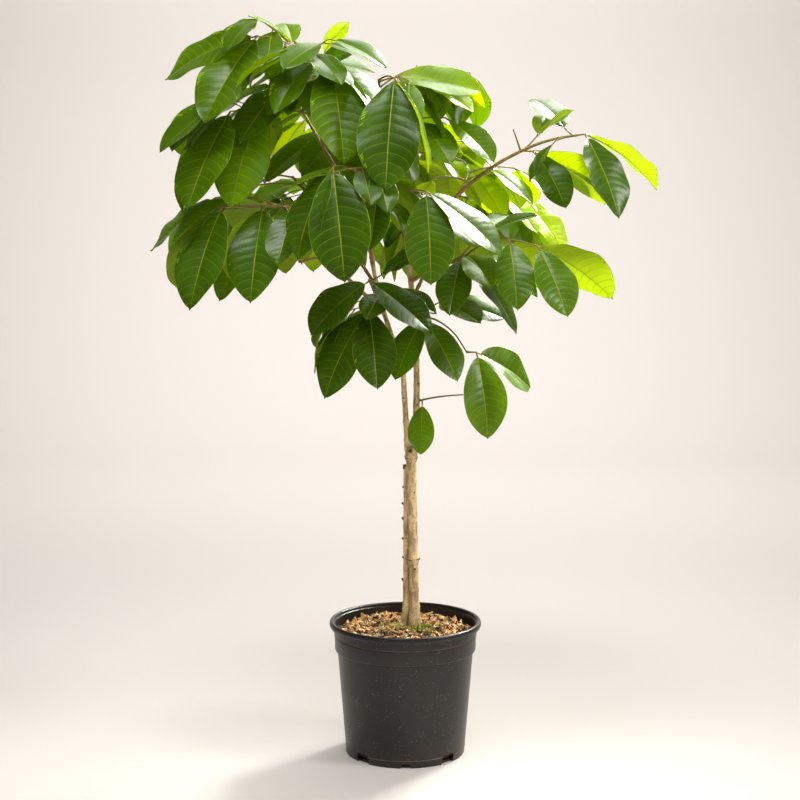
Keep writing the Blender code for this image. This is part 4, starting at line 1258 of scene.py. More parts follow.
@dataclass(frozen=True)
class MouldedCan:
    """Injection-moulded recycled polypropylene: near-black and satin, with pale lines along its mould lines
    that are partly dust and partly a painted highlight, and painted shade in the undercut grooves.
    """

    name: str = "moulded_polypropylene"
    colour: str = "1d1c1b"
    dust_and_highlight: str = "6e5a48"
    scuff: str = "b4aca0"
    groove_shade: str = "0e0c0b"
    roughness: float = 0.34
    lines: tuple[float, ...] = (0.0135, 0.1902, 0.2172)      # heights of pale lines: dust on the seam, step and ridge, and a painted highlight along them
    grooves: tuple[float, ...] = (0.1893, 0.2158)            # and those of the painted shade in the undercut grooves

    DUST_AND_HIGHLIGHT_LINE = (0.0003, 0.0009, 1.3)    # how far from its middle it is full and ends, and its value
    GROOVE_SHADE_LINE = (0.0004, 0.0010, 0.9)
    FILM_SCALE = 22.0         # clouds of dust about 45 mm across
    SPLASH = {"From Min": 0.0, "From Max": 0.05, "To Min": 0.22, "To Max": 0.06}      # soil on the foot
    GRIT_SCALE = 260.0        # specks under 1 mm across, about 4 mm apart
    SPARSE_SCALE = 60.0       # in clusters about 17 mm across
    GRAIN_SCALE = 700.0       # the mould's grain, about 1.4 mm
    GRAIN_RELIEF = 0.0002

    @staticmethod
    def line_at(add: Adder, height: bpy.types.NodeSocket, level: float,
                shape: tuple[float, float, float]) -> bpy.types.Node:
        """Make a soft-edged level line.

        Args:
            add: the material's way to add a node.
            height: the height above the floor.
            level: the line's height.
            shape: how far from it the line is full, how far from it the line ends, and its value.

        Returns:
            The node whose output is the line's value.
        """
        away = add("ShaderNodeMath", {0: height, 1: level}, operation="SUBTRACT")
        near = add("ShaderNodeMath", {0: away}, operation="ABSOLUTE")
        core, edge, strength = shape
        return add("ShaderNodeMapRange", {"Value": near, "From Min": core, "From Max": edge,
                                          "To Min": strength, "To Max": 0.0})

    def build(self) -> bpy.types.Material:
        """Make the material.

        Returns:
            The material.
        """
        material, add, shader = new_material(self.name)
        place = add("ShaderNodeTexCoord").outputs["Object"]
        height = add("ShaderNodeSeparateXYZ", {0: place}).outputs["Z"]
        film = add("ShaderNodeTexNoise", {"Vector": place, "Scale": self.FILM_SCALE, "Detail": 6.0,
                                          "Roughness": 0.7})
        low = add("ShaderNodeMapRange", {"Value": height, **self.SPLASH})
        dust_and_highlight_share = add("ShaderNodeMath", {0: film, 1: low}, operation="MULTIPLY")
        # pale lines at the seam, the step and the ridge: partly dust, partly a painted highlight along their
        # edges
        for level in self.lines:
            line = self.line_at(add, height, level, self.DUST_AND_HIGHLIGHT_LINE)
            broken = add("ShaderNodeMath", {0: film, 1: line}, operation="MULTIPLY")
            dust_and_highlight_share = add("ShaderNodeMath", {0: dust_and_highlight_share, 1: broken}, operation="MAXIMUM")
        dust_and_painted_light = add("ShaderNodeMix", {0: dust_and_highlight_share, 6: self.colour, 7: self.dust_and_highlight}, data_type="RGBA")
        # painted shade: a near-black line along each undercut groove under the band and the ridge
        for level in self.grooves:
            line = self.line_at(add, height, level, self.GROOVE_SHADE_LINE)
            dust_and_painted_light = add("ShaderNodeMix", {0: line, 6: dust_and_painted_light, 7: self.groove_shade}, data_type="RGBA")
        grit = add("ShaderNodeTexVoronoi", {"Vector": place, "Scale": self.GRIT_SCALE})
        speck = add("ShaderNodeMapRange", {"Value": grit, "From Min": 0.07, "From Max": 0.15,
                                           "To Min": 1.0, "To Max": 0.0})
        rare = add("ShaderNodeTexNoise", {"Vector": place, "Scale": self.SPARSE_SCALE, "Detail": 2.0})
        some = add("ShaderNodeMapRange", {"Value": rare, "From Min": 0.44, "From Max": 0.60, "To Max": 0.75})
        marks = add("ShaderNodeMath", {0: speck, 1: some}, operation="MULTIPLY")
        marked = add("ShaderNodeMix", {0: marks, 6: dust_and_painted_light, 7: self.scuff}, data_type="RGBA")
        sheen = add("ShaderNodeMapRange", {"Value": film, "To Min": self.roughness - 0.02,
                                           "To Max": self.roughness + 0.04})
        grain = add("ShaderNodeTexNoise", {"Vector": place, "Scale": self.GRAIN_SCALE, "Detail": 3.0})
        bump = add("ShaderNodeBump", {"Height": grain, "Strength": 0.25, "Distance": self.GRAIN_RELIEF})
        feed(shader, {"Base Color": marked, "Roughness": sheen, "Normal": bump, "IOR": 1.49,
                      "Specular IOR Level": 0.32})
        return material


@dataclass(frozen=True)
class LooseFill:
    """Bark chips, peat, straw or moss: matt, fibrous, each patch a little darker or paler."""

    name: str
    colour: str
    shade: str
    patch: float              # patches per metre
    roughness: float = 0.9

    FIBRE_SCALE = 1400.0      # fibres about 0.7 mm apart
    FIBRE_RELIEF = 0.0005

    def build(self) -> bpy.types.Material:
        """Make the material.

        Returns:
            The material.
        """
        material, add, shader = new_material(self.name)
        place = add("ShaderNodeTexCoord").outputs["Object"]
        patch = add("ShaderNodeTexNoise", {"Vector": place, "Scale": self.patch, "Detail": 4.0,
                                           "Roughness": 0.7})
        share = add("ShaderNodeMapRange", {"Value": patch, "From Min": 0.38, "From Max": 0.62})
        tone = add("ShaderNodeMix", {0: share, 6: self.colour, 7: self.shade}, data_type="RGBA")
        fibre = add("ShaderNodeTexNoise", {"Vector": place, "Scale": self.FIBRE_SCALE, "Detail": 3.0})
        bump = add("ShaderNodeBump", {"Height": fibre, "Strength": 0.6, "Distance": self.FIBRE_RELIEF})
        feed(shader, {"Base Color": tone, "Normal": bump, "Roughness": self.roughness})
        return material


LEAF_SKINS: dict[Tint, tuple[LeafSkin, LeafSkin, LeafSkin]] = {
    # upper face, lateral veins on it, underside
    Tint.DEEP: (LeafSkin("mature_cuticle_deep", "304802", "3c5906", "84a800", 0.30, 0.2, 0.15, 0.00025),
                LeafSkin("vein_deep", "587a10", "628414", "94b400", 0.36, 0.1, 0.20, 0.0001),
                LeafSkin("underside_deep", "a4c008", "b0cc0c", "e2fc00", 0.50, 0.0, 0.62, 0.0003)),
    Tint.MATURE: (LeafSkin("mature_cuticle", "3d5801", "4a6803", "a0c000", 0.30, 0.2, 0.20, 0.00025),
                  LeafSkin("vein_mature", "6c9012", "769a16", "b0cc00", 0.36, 0.1, 0.24, 0.0001),
                  LeafSkin("underside_mature", "aec80a", "b8d210", "e4fe00", 0.48, 0.0, 0.64, 0.0003)),
    Tint.FRESH: (LeafSkin("fresh_cuticle", "527202", "608204", "d6da00", 0.30, 0.2, 0.32, 0.00025),
                 LeafSkin("vein_fresh", "80a414", "8aac18", "c8e404", 0.36, 0.1, 0.30, 0.0001),
                 LeafSkin("underside_fresh", "b6d008", "c0d810", "e6ff00", 0.46, 0.0, 0.66, 0.0003)),
    Tint.YOUNG: (LeafSkin("young_cuticle", "8eac04", "9cb808", "ecf400", 0.30, 0.2, 0.46, 0.0002),
                 LeafSkin("vein_young", "a8c618", "b2ce1c", "e0f810", 0.36, 0.1, 0.40, 0.0001),
                 LeafSkin("underside_young", "bed608", "c6de10", "ecff00", 0.44, 0.0, 0.68, 0.0003)),
}
MIDRIB_SKIN = LeafSkin("midrib_upper", "8c9c24", "7a8c1c", "b8d000", 0.40, 0.2, 0.15, 0.0001)
RIB_SKIN = LeafSkin("rib_underside", "acb83c", "a0ac34", "c0d820", 0.46, 0.0, 0.20, 0.0001)
MARGIN_SKIN = LeafSkin("leaf_margin", "71901a", "7c9a20", "b8d800", 0.42, 0.0, 0.10, 0.0001)

STEM_BARK = Bark("stem_bark", "dabd8e", "a2855a", "4a3824", 0.60, mossy_to=0.262)
BOUGH_BARK = Bark("bough_bark", "9a7444", "74552e", "b89e6e", 0.35)
TWIG_BARK = Bark("green_twig_bark", "7c6a30", "8e7a3a", "5c4a24", 0.20, 0.6)
SCAR_AND_CREASE_SHADE_BARK = Bark("bud_scar_bark", "4a3826", "2e2218", "1c140e", 0.40, 0.85)
CUT_WOOD = Bark("weathered_cut_wood", "6f5a42", "453627", "2a2018", 0.50, 0.85)


# ---------------------------------------------------------------- leaflets
@dataclass(frozen=True)
class BladeGrain:
    """How finely a blade is drawn."""

    veins: int                       # pairs of lateral veins
    between: int                     # rows between one vein and the next
    shares: tuple[float, ...]        # columns between midrib and margin
    ribbed: bool                     # whether each lateral vein is a strip of its own


NEAR_GRAIN = BladeGrain(11, 3, (0.16, 0.36, 0.57, 0.78), True)
FILL_GRAIN = BladeGrain(8, 1, (0.40, 0.78), False)


@dataclass
class BladePattern:
    """The rows, columns and faces that all blades of one grain share."""

    grain: BladeGrain
    rows: np.ndarray = field(init=False)          # place of each row's foot along the midrib
    swell: np.ndarray = field(init=False)         # 0 on a vein, 1 midway between two
    on_vein: list[int] = field(init=False)        # the vein a row belongs to, or -1
    faces: list[tuple[int, ...]] = field(init=False)
    kinds: list[int] = field(init=False)

    FOOT_ROW = (0.4, 0.6)            # place before the first vein and swell of the lowest row
    FIRST_VEIN = 0.055
    VEIN_SPAN = 0.87
    VEIN_HALF = 0.0028               # half breadth of a vein strip, as a share of the length
    UPPER, VEIN, UNDER, MIDRIB, RIB, MARGIN = range(6)

    def __post_init__(self) -> None:
        """Lay out the rows and faces."""
        feet = [self.FIRST_VEIN + self.VEIN_SPAN * index / (self.grain.veins - 1)
                for index in range(self.grain.veins)]
        half = self.VEIN_HALF if self.grain.ribbed else 0.0
        rows = [(self.FOOT_ROW[0] * feet[0], self.FOOT_ROW[1], -1)]
        for index, foot in enumerate(feet):
            rows.append((foot - half, 0.0, index))
            if self.grain.ribbed:
                rows.append((foot + half, 0.0, index))
            after = feet[index + 1] - half if index + 1 < len(feet) else 1.0
            for step in range(self.grain.between):
                share = (step + 1) / (self.grain.between + 1)
                rows.append((foot + half + (after - foot - half) * share, math.sin(math.pi * share), -1))
        self.rows = np.array([row[0] for row in rows])
        self.swell = np.array([row[1] for row in rows])
        self.on_vein = [row[2] for row in rows]
        self.lay_faces()

    @property
    def columns(self) -> int:
        """Columns on each side of the midrib."""
        return len(self.grain.shares) + 3

    def lay_faces(self) -> None:
        """Number the faces of the upper and under sides, which share their outline."""
        side = self.columns
        across = 2 * side + 1
        count = len(self.rows)
        under = count * across

        def corner(row: int, column: int, below: bool) -> int:
            """Number of a corner; the outline's corners belong to both sides."""
            if below and 0 < column < across - 1:
                return under + row * (across - 2) + column - 1
            return row * across + column

        base = under + count * (across - 2)
        tip = base + 1
        self.faces = []
        self.kinds = []
        for below in (False, True):
            for column in range(across - 1):
                central = column in (side - 1, side)
                edge = column in (0, across - 2)
                plain = self.UNDER if below else self.UPPER
                if central:
                    plain = self.RIB if below else self.MIDRIB
                elif edge:
                    plain = self.MARGIN
                self.keep([base, corner(0, column + 1, below), corner(0, column, below)], below, plain)
                for row in range(count - 1):
                    vein = self.on_vein[row] >= 0 and self.on_vein[row] == self.on_vein[row + 1]
                    kind = plain
                    if vein and not central and not edge:
                        kind = self.RIB if below else self.VEIN
                    self.keep([corner(row, column, below), corner(row, column + 1, below),
                               corner(row + 1, column + 1, below), corner(row + 1, column, below)],
                              below, kind)
                self.keep([corner(count - 1, column, below), corner(count - 1, column + 1, below), tip],
                          below, plain)

    def keep(self, loop: list[int], below: bool, kind: int) -> None:
        """Keep one face and its kind, turned over where it looks down."""
        self.faces.append(tuple(reversed(loop)) if below else tuple(loop))
        self.kinds.append(kind)


@dataclass
class BladeForm:
    """The small ways in which one blade differs from the next."""

    twist: float              # radians, foot to tip
    wave: float               # phase of the margin's waves
    ripple: float             # their height as a share of the length
    waves: float              # how many along a blade
    cup: float                # how much the halves flatten towards the margin

    RANGES = ((-math.radians(14.0), math.radians(14.0)), (0.0, math.tau), (0.008, 0.018), (1.4, 2.8),
              (0.2, 0.6))

    @classmethod
    def drawn(cls, dice: random.Random) -> "BladeForm":
        """Draw a form."""
        return cls(*(dice.uniform(*limits) for limits in cls.RANGES))


@dataclass
class BladeMesher:
    """Turns leaflets into thin closed blades whose mesh follows their veins."""

    pattern: BladePattern
    breadth: float = 0.54            # widest breadth over length
    shape: tuple[float, float] = (1.16, 0.56)    # shift of the widest place towards the tip, bluntness
    vein_sweep: float = 0.60         # how far veins run forward on their way to the margin
    quilt: float = 0.0036            # rise of the tissue between veins, as a share of the length
    rib_half: float = 0.0009         # half breadth of the midrib, in metres
    rib_limits: tuple[float, float] = (0.02, 0.40)         # as shares of the half breadth
    margin: float = 0.0006           # breadth of the pale margin
    edge_limits: tuple[float, float] = (0.02, 0.25)
    thickness: float = 0.0006
    rib_depth: float = 0.0012        # how far the midrib stands proud below
    drip: float = 0.045              # length of the short blunt point, as a share
    taper: float = 0.30              # how much narrower the blade draws in before its point
    taper_from: float = 0.65         # where that begins
    groove: float = 0.0006           # how far the midrib lies sunk above
    vein_depth: float = 0.0003       # how far a lateral vein stands proud below
    puff: tuple[float, float] = (2.6, 1.3)       # height and fall of the swell between two veins
    halves: float = 1.7              # how far the waves of the two margins are out of step, in radians

    def outline(self, place: np.ndarray) -> np.ndarray:
        """Find the half breadth at places along a blade.

        Args:
            place: from 0 at its foot to 1 at its tip.

        Returns:
            Half breadths, as shares of the blade's length.
        """
        body = np.clip(place / (1.0 - 0.5 * self.drip), 0.0, 1.0)
        shift, blunt = self.shape
        oval = 0.5 * self.breadth * np.maximum(np.sin(math.pi * body ** shift), 0.0) ** blunt
        late = np.clip((place - self.taper_from) / (1.0 - self.taper_from), 0.0, 1.0)
        oval = oval * (1.0 - self.taper * late ** 2)
        point = np.where(place > 1.0 - self.drip, 0.45 * (1.0 - place), 0.0)
        return np.maximum(oval, point)

    def corners(self, leaf: Leaflet, form: BladeForm) -> np.ndarray:
        """Place a blade's corners.

        Args:
            leaf: the leaflet.
            form: how it differs from others.

        Returns:
            The corners: upper side, under side without its outline, foot and tip.
        """
        pattern = self.pattern
        rows = pattern.rows[:, None]
        breadth = np.maximum(self.outline(rows) * leaf.length, 1e-5)
        rib = np.clip(self.rib_half * (1.15 - rows) / breadth, *self.rib_limits)
        edge = np.clip(self.margin / breadth, *self.edge_limits)
        shares = [np.zeros_like(rib), rib]
        shares.extend(rib + (1.0 - edge - rib) * share for share in pattern.grain.shares)
        shares.extend((1.0 - edge, np.ones_like(rib)))
        half = np.hstack(shares)
        reach = np.hstack((-half[:, :0:-1], half))
        share = np.abs(reach)
        place = rows + self.vein_sweep * rows * (1.0 - rows) * (0.5 * share + 0.5 * share ** 3)
        lateral = reach * self.outline(place) * leaf.length
        lift = math.tan(math.radians(leaf.fold))
        height = np.abs(lateral) * lift * (1.0 - form.cup * share)
        puff = self.puff[0] * np.sqrt(share) * np.maximum(1.0 - share, 0.0) ** self.puff[1]
        height += self.quilt * leaf.length * pattern.swell[:, None] * puff
        ripple = np.sin(math.tau * form.waves * place + form.wave + np.where(reach > 0.0, 0.0, self.halves))
        height += form.ripple * leaf.length * ripple * share ** 2
        height -= self.groove * (share <= rib + 1e-9)
        upper = self.laid(leaf, form, place, lateral, height)
        vein = np.array([1.0 if row >= 0 else 0.0 for row in pattern.on_vein])[:, None]
        depth = self.thickness * (1.0 - share ** 3) + self.vein_depth * vein * (1.0 - share)
        depth = depth + self.rib_depth * (1.1 - rows) * (share <= rib * 0.5)
        lower = self.laid(leaf, form, place, lateral, height - depth)[:, 1:-1]
        ends = self.laid(leaf, form, np.array([[0.0, 1.0]]), np.zeros((1, 2)), np.zeros((1, 2)))
        return np.vstack((upper.reshape(-1, 3), lower.reshape(-1, 3), ends.reshape(-1, 3)))

    def laid(self, leaf: Leaflet, form: BladeForm, place: np.ndarray, lateral: np.ndarray,
             height: np.ndarray) -> np.ndarray:
        """Bend flat places on to a leaflet's curved midrib.

        Args:
            leaf: the leaflet.
            form: how it differs from others.
            place: shares of the length.
            lateral: distances from the midrib.
            height: distances above the midrib's plane.

        Returns:
            Points in space.
        """
        run, face, foot = (np.array(value) for value in (leaf.run, leaf.face, leaf.foot))
        across = np.cross(run, face)
        bend = math.radians(leaf.bend)
        turned = (bend * place)[..., None]
        point = foot + run * PETIOLULE
        point = point + (run * np.sin(turned) - face * (1.0 - np.cos(turned))) * (leaf.length / bend)
        up = face * np.cos(turned) + run * np.sin(turned)
        twist = (form.twist * place)[..., None]
        side = across * np.cos(twist) + up * np.sin(twist)
        up = up * np.cos(twist) - across * np.sin(twist)
        return point + side * lateral[..., None] + up * height[..., None]


@dataclass
class Foliage:
    """The leafy shoots: blades by tint and kind, and the twigs that carry them."""

    plant: Plant
    skin_tree: bpy.types.NodeTree
    near: BladeMesher = field(default_factory=lambda: BladeMesher(BladePattern(NEAR_GRAIN)))
    fill: BladeMesher = field(default_factory=lambda: BladeMesher(BladePattern(FILL_GRAIN)))
    tints: dict[Tint, list[bpy.types.Material]] = field(default_factory=dict)
    shared: list[bpy.types.Material] = field(default_factory=list)

    TWIG_SKIN = (8, 0.0003, 500.0)               # sides, relief and grain
    TWIG_SHARE = 0.82                            # a rachis's radius against its solid's
    JOINT = (0.5, 0.004)                         # swell of a rachis at its foot, and its run
    STALK_RADII = (0.0017, 0.0015, 0.0008)
    STALK_SAG = 0.0004
    STALK_END = 0.02                             # how far it runs on under its blade
    FULL_BLADE = 0.15                            # blades this long have the thickest stalks

    def __post_init__(self) -> None:
        """Make the leaf materials."""
        for tint, skins in LEAF_SKINS.items():
            self.tints[tint] = [skin.build() for skin in skins]
        self.shared = [skin.build() for skin in (MIDRIB_SKIN, RIB_SKIN, MARGIN_SKIN)]

    def blades(self, mass: Mass) -> bpy.types.Object:
        """Join the blades of one shoot.

        Args:
            mass: the shoot.

        Returns:
            The joined piece.
        """
        dice = random.Random(mass.seed + FORM_SEED)
        leaves = [(leaf, self.near) for leaf in self.plant.leaflets[mass.name]]
        leaves += [(leaf, self.fill) for leaf in self.plant.fill_leaflets[mass.name]]
        used = [tint for tint in Tint if any(leaf.tint is tint for leaf, _ in leaves)]
        materials = [material for tint in used for material in self.tints[tint]] + self.shared
        corners, faces, slots = [], [], []
        start = 0
        for leaf, mesher in leaves:
            first = 3 * used.index(leaf.tint)
            table = (first, first + 1, first + 2, *range(3 * len(used), 3 * len(used) + 3))
            made = mesher.corners(leaf, BladeForm.drawn(dice))
            faces.extend(tuple(start + corner for corner in face) for face in mesher.pattern.faces)
            slots.extend(table[kind] for kind in mesher.pattern.kinds)
            corners.append(made)
            start += len(made)
        return mesh_piece(f"{mass.name}_leaflets", np.vstack(corners), faces, materials, slots)

    def twigs(self, mass: Mass, material: bpy.types.Material) -> bpy.types.Object:
        """Skin the stem, the rachises and the stalks of one shoot.

        Args:
            mass: the shoot.
            material: their bark.

        Returns:
            The joined piece.
        """
        stem = self.plant.tubes[mass.name]
        seat, _ = self.plant.seats[mass.name]
        lines = [smooth_path([seat] + stem.points, [stem.radii[0]] + stem.radii, 0.006)]
        for tube in self.plant.twigs[mass.name]:
            points, radii = smooth_path(tube.points, tube.radii, 0.005)
            joint = np.exp(-np.linalg.norm(points - points[0], axis=1) / self.JOINT[1])
            lines.append((points, self.TWIG_SHARE * radii * (1.0 + self.JOINT[0] * joint)))
        for leaf in self.plant.leaflets[mass.name] + self.plant.fill_leaflets[mass.name]:
            size = 0.55 + 0.45 * min(leaf.length / self.FULL_BLADE, 1.0)
            end = leaf.midrib(self.STALK_END)[0]
            stalk = [leaf.foot, leaf.foot.lerp(end, 0.5) - leaf.face * self.STALK_SAG, end]
            lines.append(smooth_path(stalk, [radius * size for radius in self.STALK_RADII], 0.003))
        return skinned(f"{mass.name}_twigs", lines, self.skin_tree, *self.TWIG_SKIN, material)

    def build(self) -> None:
        """Build and dress every shoot."""
        bark = TWIG_BARK.build()
        for mass in MASSES:
            dress(self.blades(mass), (mass.name,))
            dress(self.twigs(mass, bark))


# ---------------------------------------------------------------- stems and boughs
@dataclass(frozen=True)
class RingNode:
    """A swollen ring round a stem, where a shoot once ended."""

    limb: str
    height: float             # above the ground
    swell: float              # extra radius
    spread: float             # how far it runs along the stem
    crack: float = 0.0        # depth of the crack round it


@dataclass(frozen=True)
class Bud:
    """A bud or leaf scar that stands a little proud of the bark."""

    limb: str
    height: float
    bearing: float            # degrees from +X towards +Y
    size: float


RING_NODES = (
    RingNode("main_stem", 0.352, 0.0034, 0.0042, 0.0016),
    RingNode("main_stem", 0.536, 0.0018, 0.0040, 0.0010),
    RingNode("side_stem", 0.311, 0.0014, 0.0030, 0.0004),
    RingNode("side_stem", 0.386, 0.0011, 0.0026),
    RingNode("side_stem", 0.423, 0.0013, 0.0024, 0.0004),
    RingNode("side_stem", 0.450, 0.0013, 0.0026, 0.0004),
    RingNode("right_leader", 0.629, 0.0007, 0.0024, 0.0004),
    RingNode("right_leader", 0.667, 0.0007, 0.0024, 0.0004),
    RingNode("left_leader", 0.644, 0.0006, 0.0024),
)
BUDS = (
    Bud("main_stem", 0.5445, 262.0, 0.0034),
    Bud("main_stem", 0.470, 300.0, 0.0018),
    Bud("main_stem", 0.330, 284.0, 0.0020),
    Bud("side_stem", 0.311, 195.0, 0.0024),
    Bud("side_stem", 0.386, 190.0, 0.0022),
    Bud("side_stem", 0.423, 200.0, 0.0025),
    Bud("side_stem", 0.450, 188.0, 0.0023),
    Bud("side_stem", 0.352, 205.0, 0.0018),
    Bud("side_stem", 0.480, 195.0, 0.0017),
    Bud("right_leader", 0.629, 285.0, 0.0017),
    Bud("right_leader", 0.667, 300.0, 0.0019),
    Bud("right_leader", 0.706, 240.0, 0.0016),
    Bud("left_leader", 0.644, 250.0, 0.0017),
)


@dataclass
class Branching:
    """The woody skeleton, skinned with bark."""

    plant: Plant
    skin_tree: bpy.types.NodeTree

    STEP = 0.0022
    STEM_SIDES = 28
    BOUGH_SIDES = 16
    BARK_GRAIN = (0.0008, 260.0)          # relief and scale
    SCAR_SKIN = (8, 0.0003, 900.0)        # sides, relief and scale
    CUT_SKIN = (20, 0.0004, 900.0)
    CUT_SHARES = (-1.2, 0.5, 0.95, 1.1)   # a cut end's places along its limb, in radii
    CUT_RADII = (1.06, 1.12, 1.0, 0.6)
    BUD_RADII = (1.1, 1.0, 0.8, 0.25)
    FOOT_SWELL = 1.1                      # a limb's foot, inside its parent, against its first radius
    COLLAR = (0.35, 3.0)                  # swell where it leaves its parent, and its run in radii
    KNOT_SWELLS = (0.06, 0.20)
    KNOT_RUN = 0.0028
    TIP_SEAT = 0.012                      # a limb that starts this near its seat grows from a tip
    TIP_SUNK = 0.010                      # and starts this far back inside it
    GROUND_SUNK = 0.006                   # how far a stem's skin runs down into the mix
    CRACK_SHARE = 0.3                     # a crack's run against its ring's
    END_SHARE = 0.7                       # length of a rounded end, in radii
    CRACK_STARTS = (150.0, 210.0)         # degrees
    CRACK_SPANS = (60.0, 120.0)
    CRACK_GAPS = (8.0, 30.0)
    CRACK_WANDER = 0.35                   # rise or fall at each step, in crack depths
    CRACK_SUNK = 0.35                     # how deep it lies, in crack depths
    CRACK_THICK = 0.60                    # and how thick it is
    CRACK_STEPS = 14
    HUG = 0.0011              # how far the two stems have grown into each other
    CREASE_SHADE = 0.0011           # radius of the dark tube laid in the crease between them: painted shade
    ROUND_END = (0.45, 0.80, 0.97)        # sines of the steps that close a limb's end
    KNOT_GAP = (0.030, 0.055)
    CRACK_PARTS = 3

    def towards_main(self, point: Vector) -> Vector:
        """The level way from a point to the main stem's axis."""
        axis = min(self.plant.tubes["main_stem"].points, key=lambda centre: abs(centre.z - point.z))
        return Vector((axis.x - point.x, axis.y - point.y, 0.0)).normalized()

    def line(self, name: str, dice: random.Random) -> CentreLine:
        """Draw a limb's centre line and radii, from inside its parent to a round end.

        Args:
            name: the limb.
            dice: random draws for its knots.

        Returns:
            The points and their radii.
        """
        tube = self.plant.tubes[name]
        points, radii = list(tube.points), list(tube.radii)
        if name == "side_stem":
            points = [point + self.towards_main(point) * self.HUG for point in points]
        foot = radii[0]
        if name in self.plant.seats:
            seat, tangent = self.plant.seats[name]
            reach = points[0] - seat
            on_tip = reach.dot(tangent) > 0.0 and reach.length < self.TIP_SEAT
            points.insert(0, seat - tangent * (self.TIP_SUNK if on_tip else 0.0))
        else:
            points.insert(0, points[0] - Vector((0.0, 0.0, self.GROUND_SUNK)))
        radii.insert(0, foot * self.FOOT_SWELL)
        line, width = smooth_path(points, radii, self.STEP)
        travelled = np.concatenate(([0.0], np.cumsum(np.linalg.norm(np.diff(line, axis=0), axis=1))))
        if name in self.plant.seats:
            width = width * (1.0 + self.COLLAR[0] * np.exp(-travelled / (self.COLLAR[1] * foot)))
        for ring in RING_NODES:
            if ring.limb == name:
                away = line[:, 2] - ring.height
                width = width + ring.swell * np.exp(-(away / ring.spread) ** 2)
                width = width - ring.crack * np.exp(-(away / (self.CRACK_SHARE * ring.spread)) ** 2)
        place = dice.uniform(*self.KNOT_GAP)
        while place < travelled[-1]:
            knot = np.exp(-((travelled - place) / self.KNOT_RUN) ** 2)
            width = width * (1.0 + dice.uniform(*self.KNOT_SWELLS) * knot)
            place += dice.uniform(*self.KNOT_GAP)
        last = line[-1]
        run = (last - line[-2]) / np.linalg.norm(last - line[-2])
        sines = np.array(self.ROUND_END)
        line = np.vstack([line] + [last + run * sine * width[-1] * self.END_SHARE for sine in sines])
        width = np.concatenate((width, width[-1] * np.sqrt(1.0 - sines ** 2)))
        return line, width

    def bud(self, bud: Bud) -> CentreLine:
        """Draw a bud as a short blunt line across the bark.

        Args:
            bud: the bud.

        Returns:
            Its points and radii.
        """
        tube = self.plant.tubes[bud.limb]
        place = tube.place_at(bud.height)
        centre, _ = along(tube.points, place)
        out = direction(bud.bearing, 28.0)
        surface = tube.radius_at(place)
        shares = (0.5, 1.0, 1.0 + 0.9 * bud.size / surface, 1.0 + 1.5 * bud.size / surface)
        points = np.array([centre + out * surface * share for share in shares])
        return points, np.array(self.BUD_RADII) * bud.size

    def skin(self, name: str, limbs: tuple[str, ...], sides: int, bark: Bark) -> None:
        """Skin some limbs as one piece.

        Args:
            name: the piece's name.
            limbs: the limbs.
            sides: how many sides the skin has.
            bark: its finish.
        """
        lines = [self.line(limb, random.Random(BARK_SEED + index)) for index, limb in enumerate(limbs)]
        dress(skinned(name, lines, self.skin_tree, sides, *self.BARK_GRAIN, bark.build()), limbs)

    def cut_ends(self) -> None:
        """Cap the pruned stem and the pruned stub with weathered wood."""
        lines = []
        for name in ("side_stem", "cut_stub"):
            tube = self.plant.tubes[name]
            tip, radius = tube.points[-1], tube.radii[-1]
            run = (tip - tube.points[-2]).normalized()
            points = np.array([tip + run * radius * share for share in self.CUT_SHARES])
            lines.append((points, radius * np.array(self.CUT_RADII)))
        dress(skinned("cut_ends", lines, self.skin_tree, *self.CUT_SKIN, CUT_WOOD.build()))

    def cracks(self) -> None:
        """Draw the dark cracks that run round the ring nodes, the buds, and a dark tube along the crease
        between the two stems, which is painted shade.
        """
        dice = random.Random(BARK_SEED)
        lines = []
        for ring in RING_NODES:
            if not ring.crack:
                continue
            tube = self.plant.tubes[ring.limb]
            place = tube.place_at(ring.height)
            centre, _ = along(tube.points, place)
            if ring.limb == "side_stem":
                centre = centre + self.towards_main(centre) * self.HUG
            reach = tube.radius_at(place) + ring.swell - self.CRACK_SUNK * ring.crack
            start = dice.uniform(*self.CRACK_STARTS)
            for _ in range(self.CRACK_PARTS):
                span = dice.uniform(*self.CRACK_SPANS)
                turns = np.linspace(start, start + span, self.CRACK_STEPS)
                steps = [dice.uniform(-self.CRACK_WANDER, self.CRACK_WANDER) for _ in turns]
                wander = np.cumsum(steps) * ring.crack
                points = np.array([centre + direction(turn, 0.0) * reach + Vector((0.0, 0.0, rise))
                                   for turn, rise in zip(turns, wander)])
                fade = np.sin(np.linspace(0.25, math.pi - 0.2, len(turns)))
                lines.append((points, self.CRACK_THICK * ring.crack * fade))
                start += span + dice.uniform(*self.CRACK_GAPS)
        lines += [self.bud(bud) for bud in BUDS]
        # painted shade: a dark tube along the crease where the side stem meets the main stem
        side = self.plant.tubes["side_stem"]
        crease_shade_line = [point + self.towards_main(point) * (radius + 0.5 * self.HUG)
                  for point, radius in zip(side.points, side.radii)]
        lines.append(smooth_path(crease_shade_line, [self.CREASE_SHADE] * len(crease_shade_line), 0.004))
        dress(skinned("bark_scars", lines, self.skin_tree, *self.SCAR_SKIN, SCAR_AND_CREASE_SHADE_BARK.build()))

    def build(self) -> None:
        """Build and dress the stems and boughs."""
        self.skin("stem_skin", ("main_stem", "side_stem", *(limb.name for limb in STEMS)),
                  self.STEM_SIDES, STEM_BARK)
        self.skin("bough_skin", tuple(limb.name for limb in BOUGHS), self.BOUGH_SIDES, BOUGH_BARK)
        self.cut_ends()
        self.cracks()


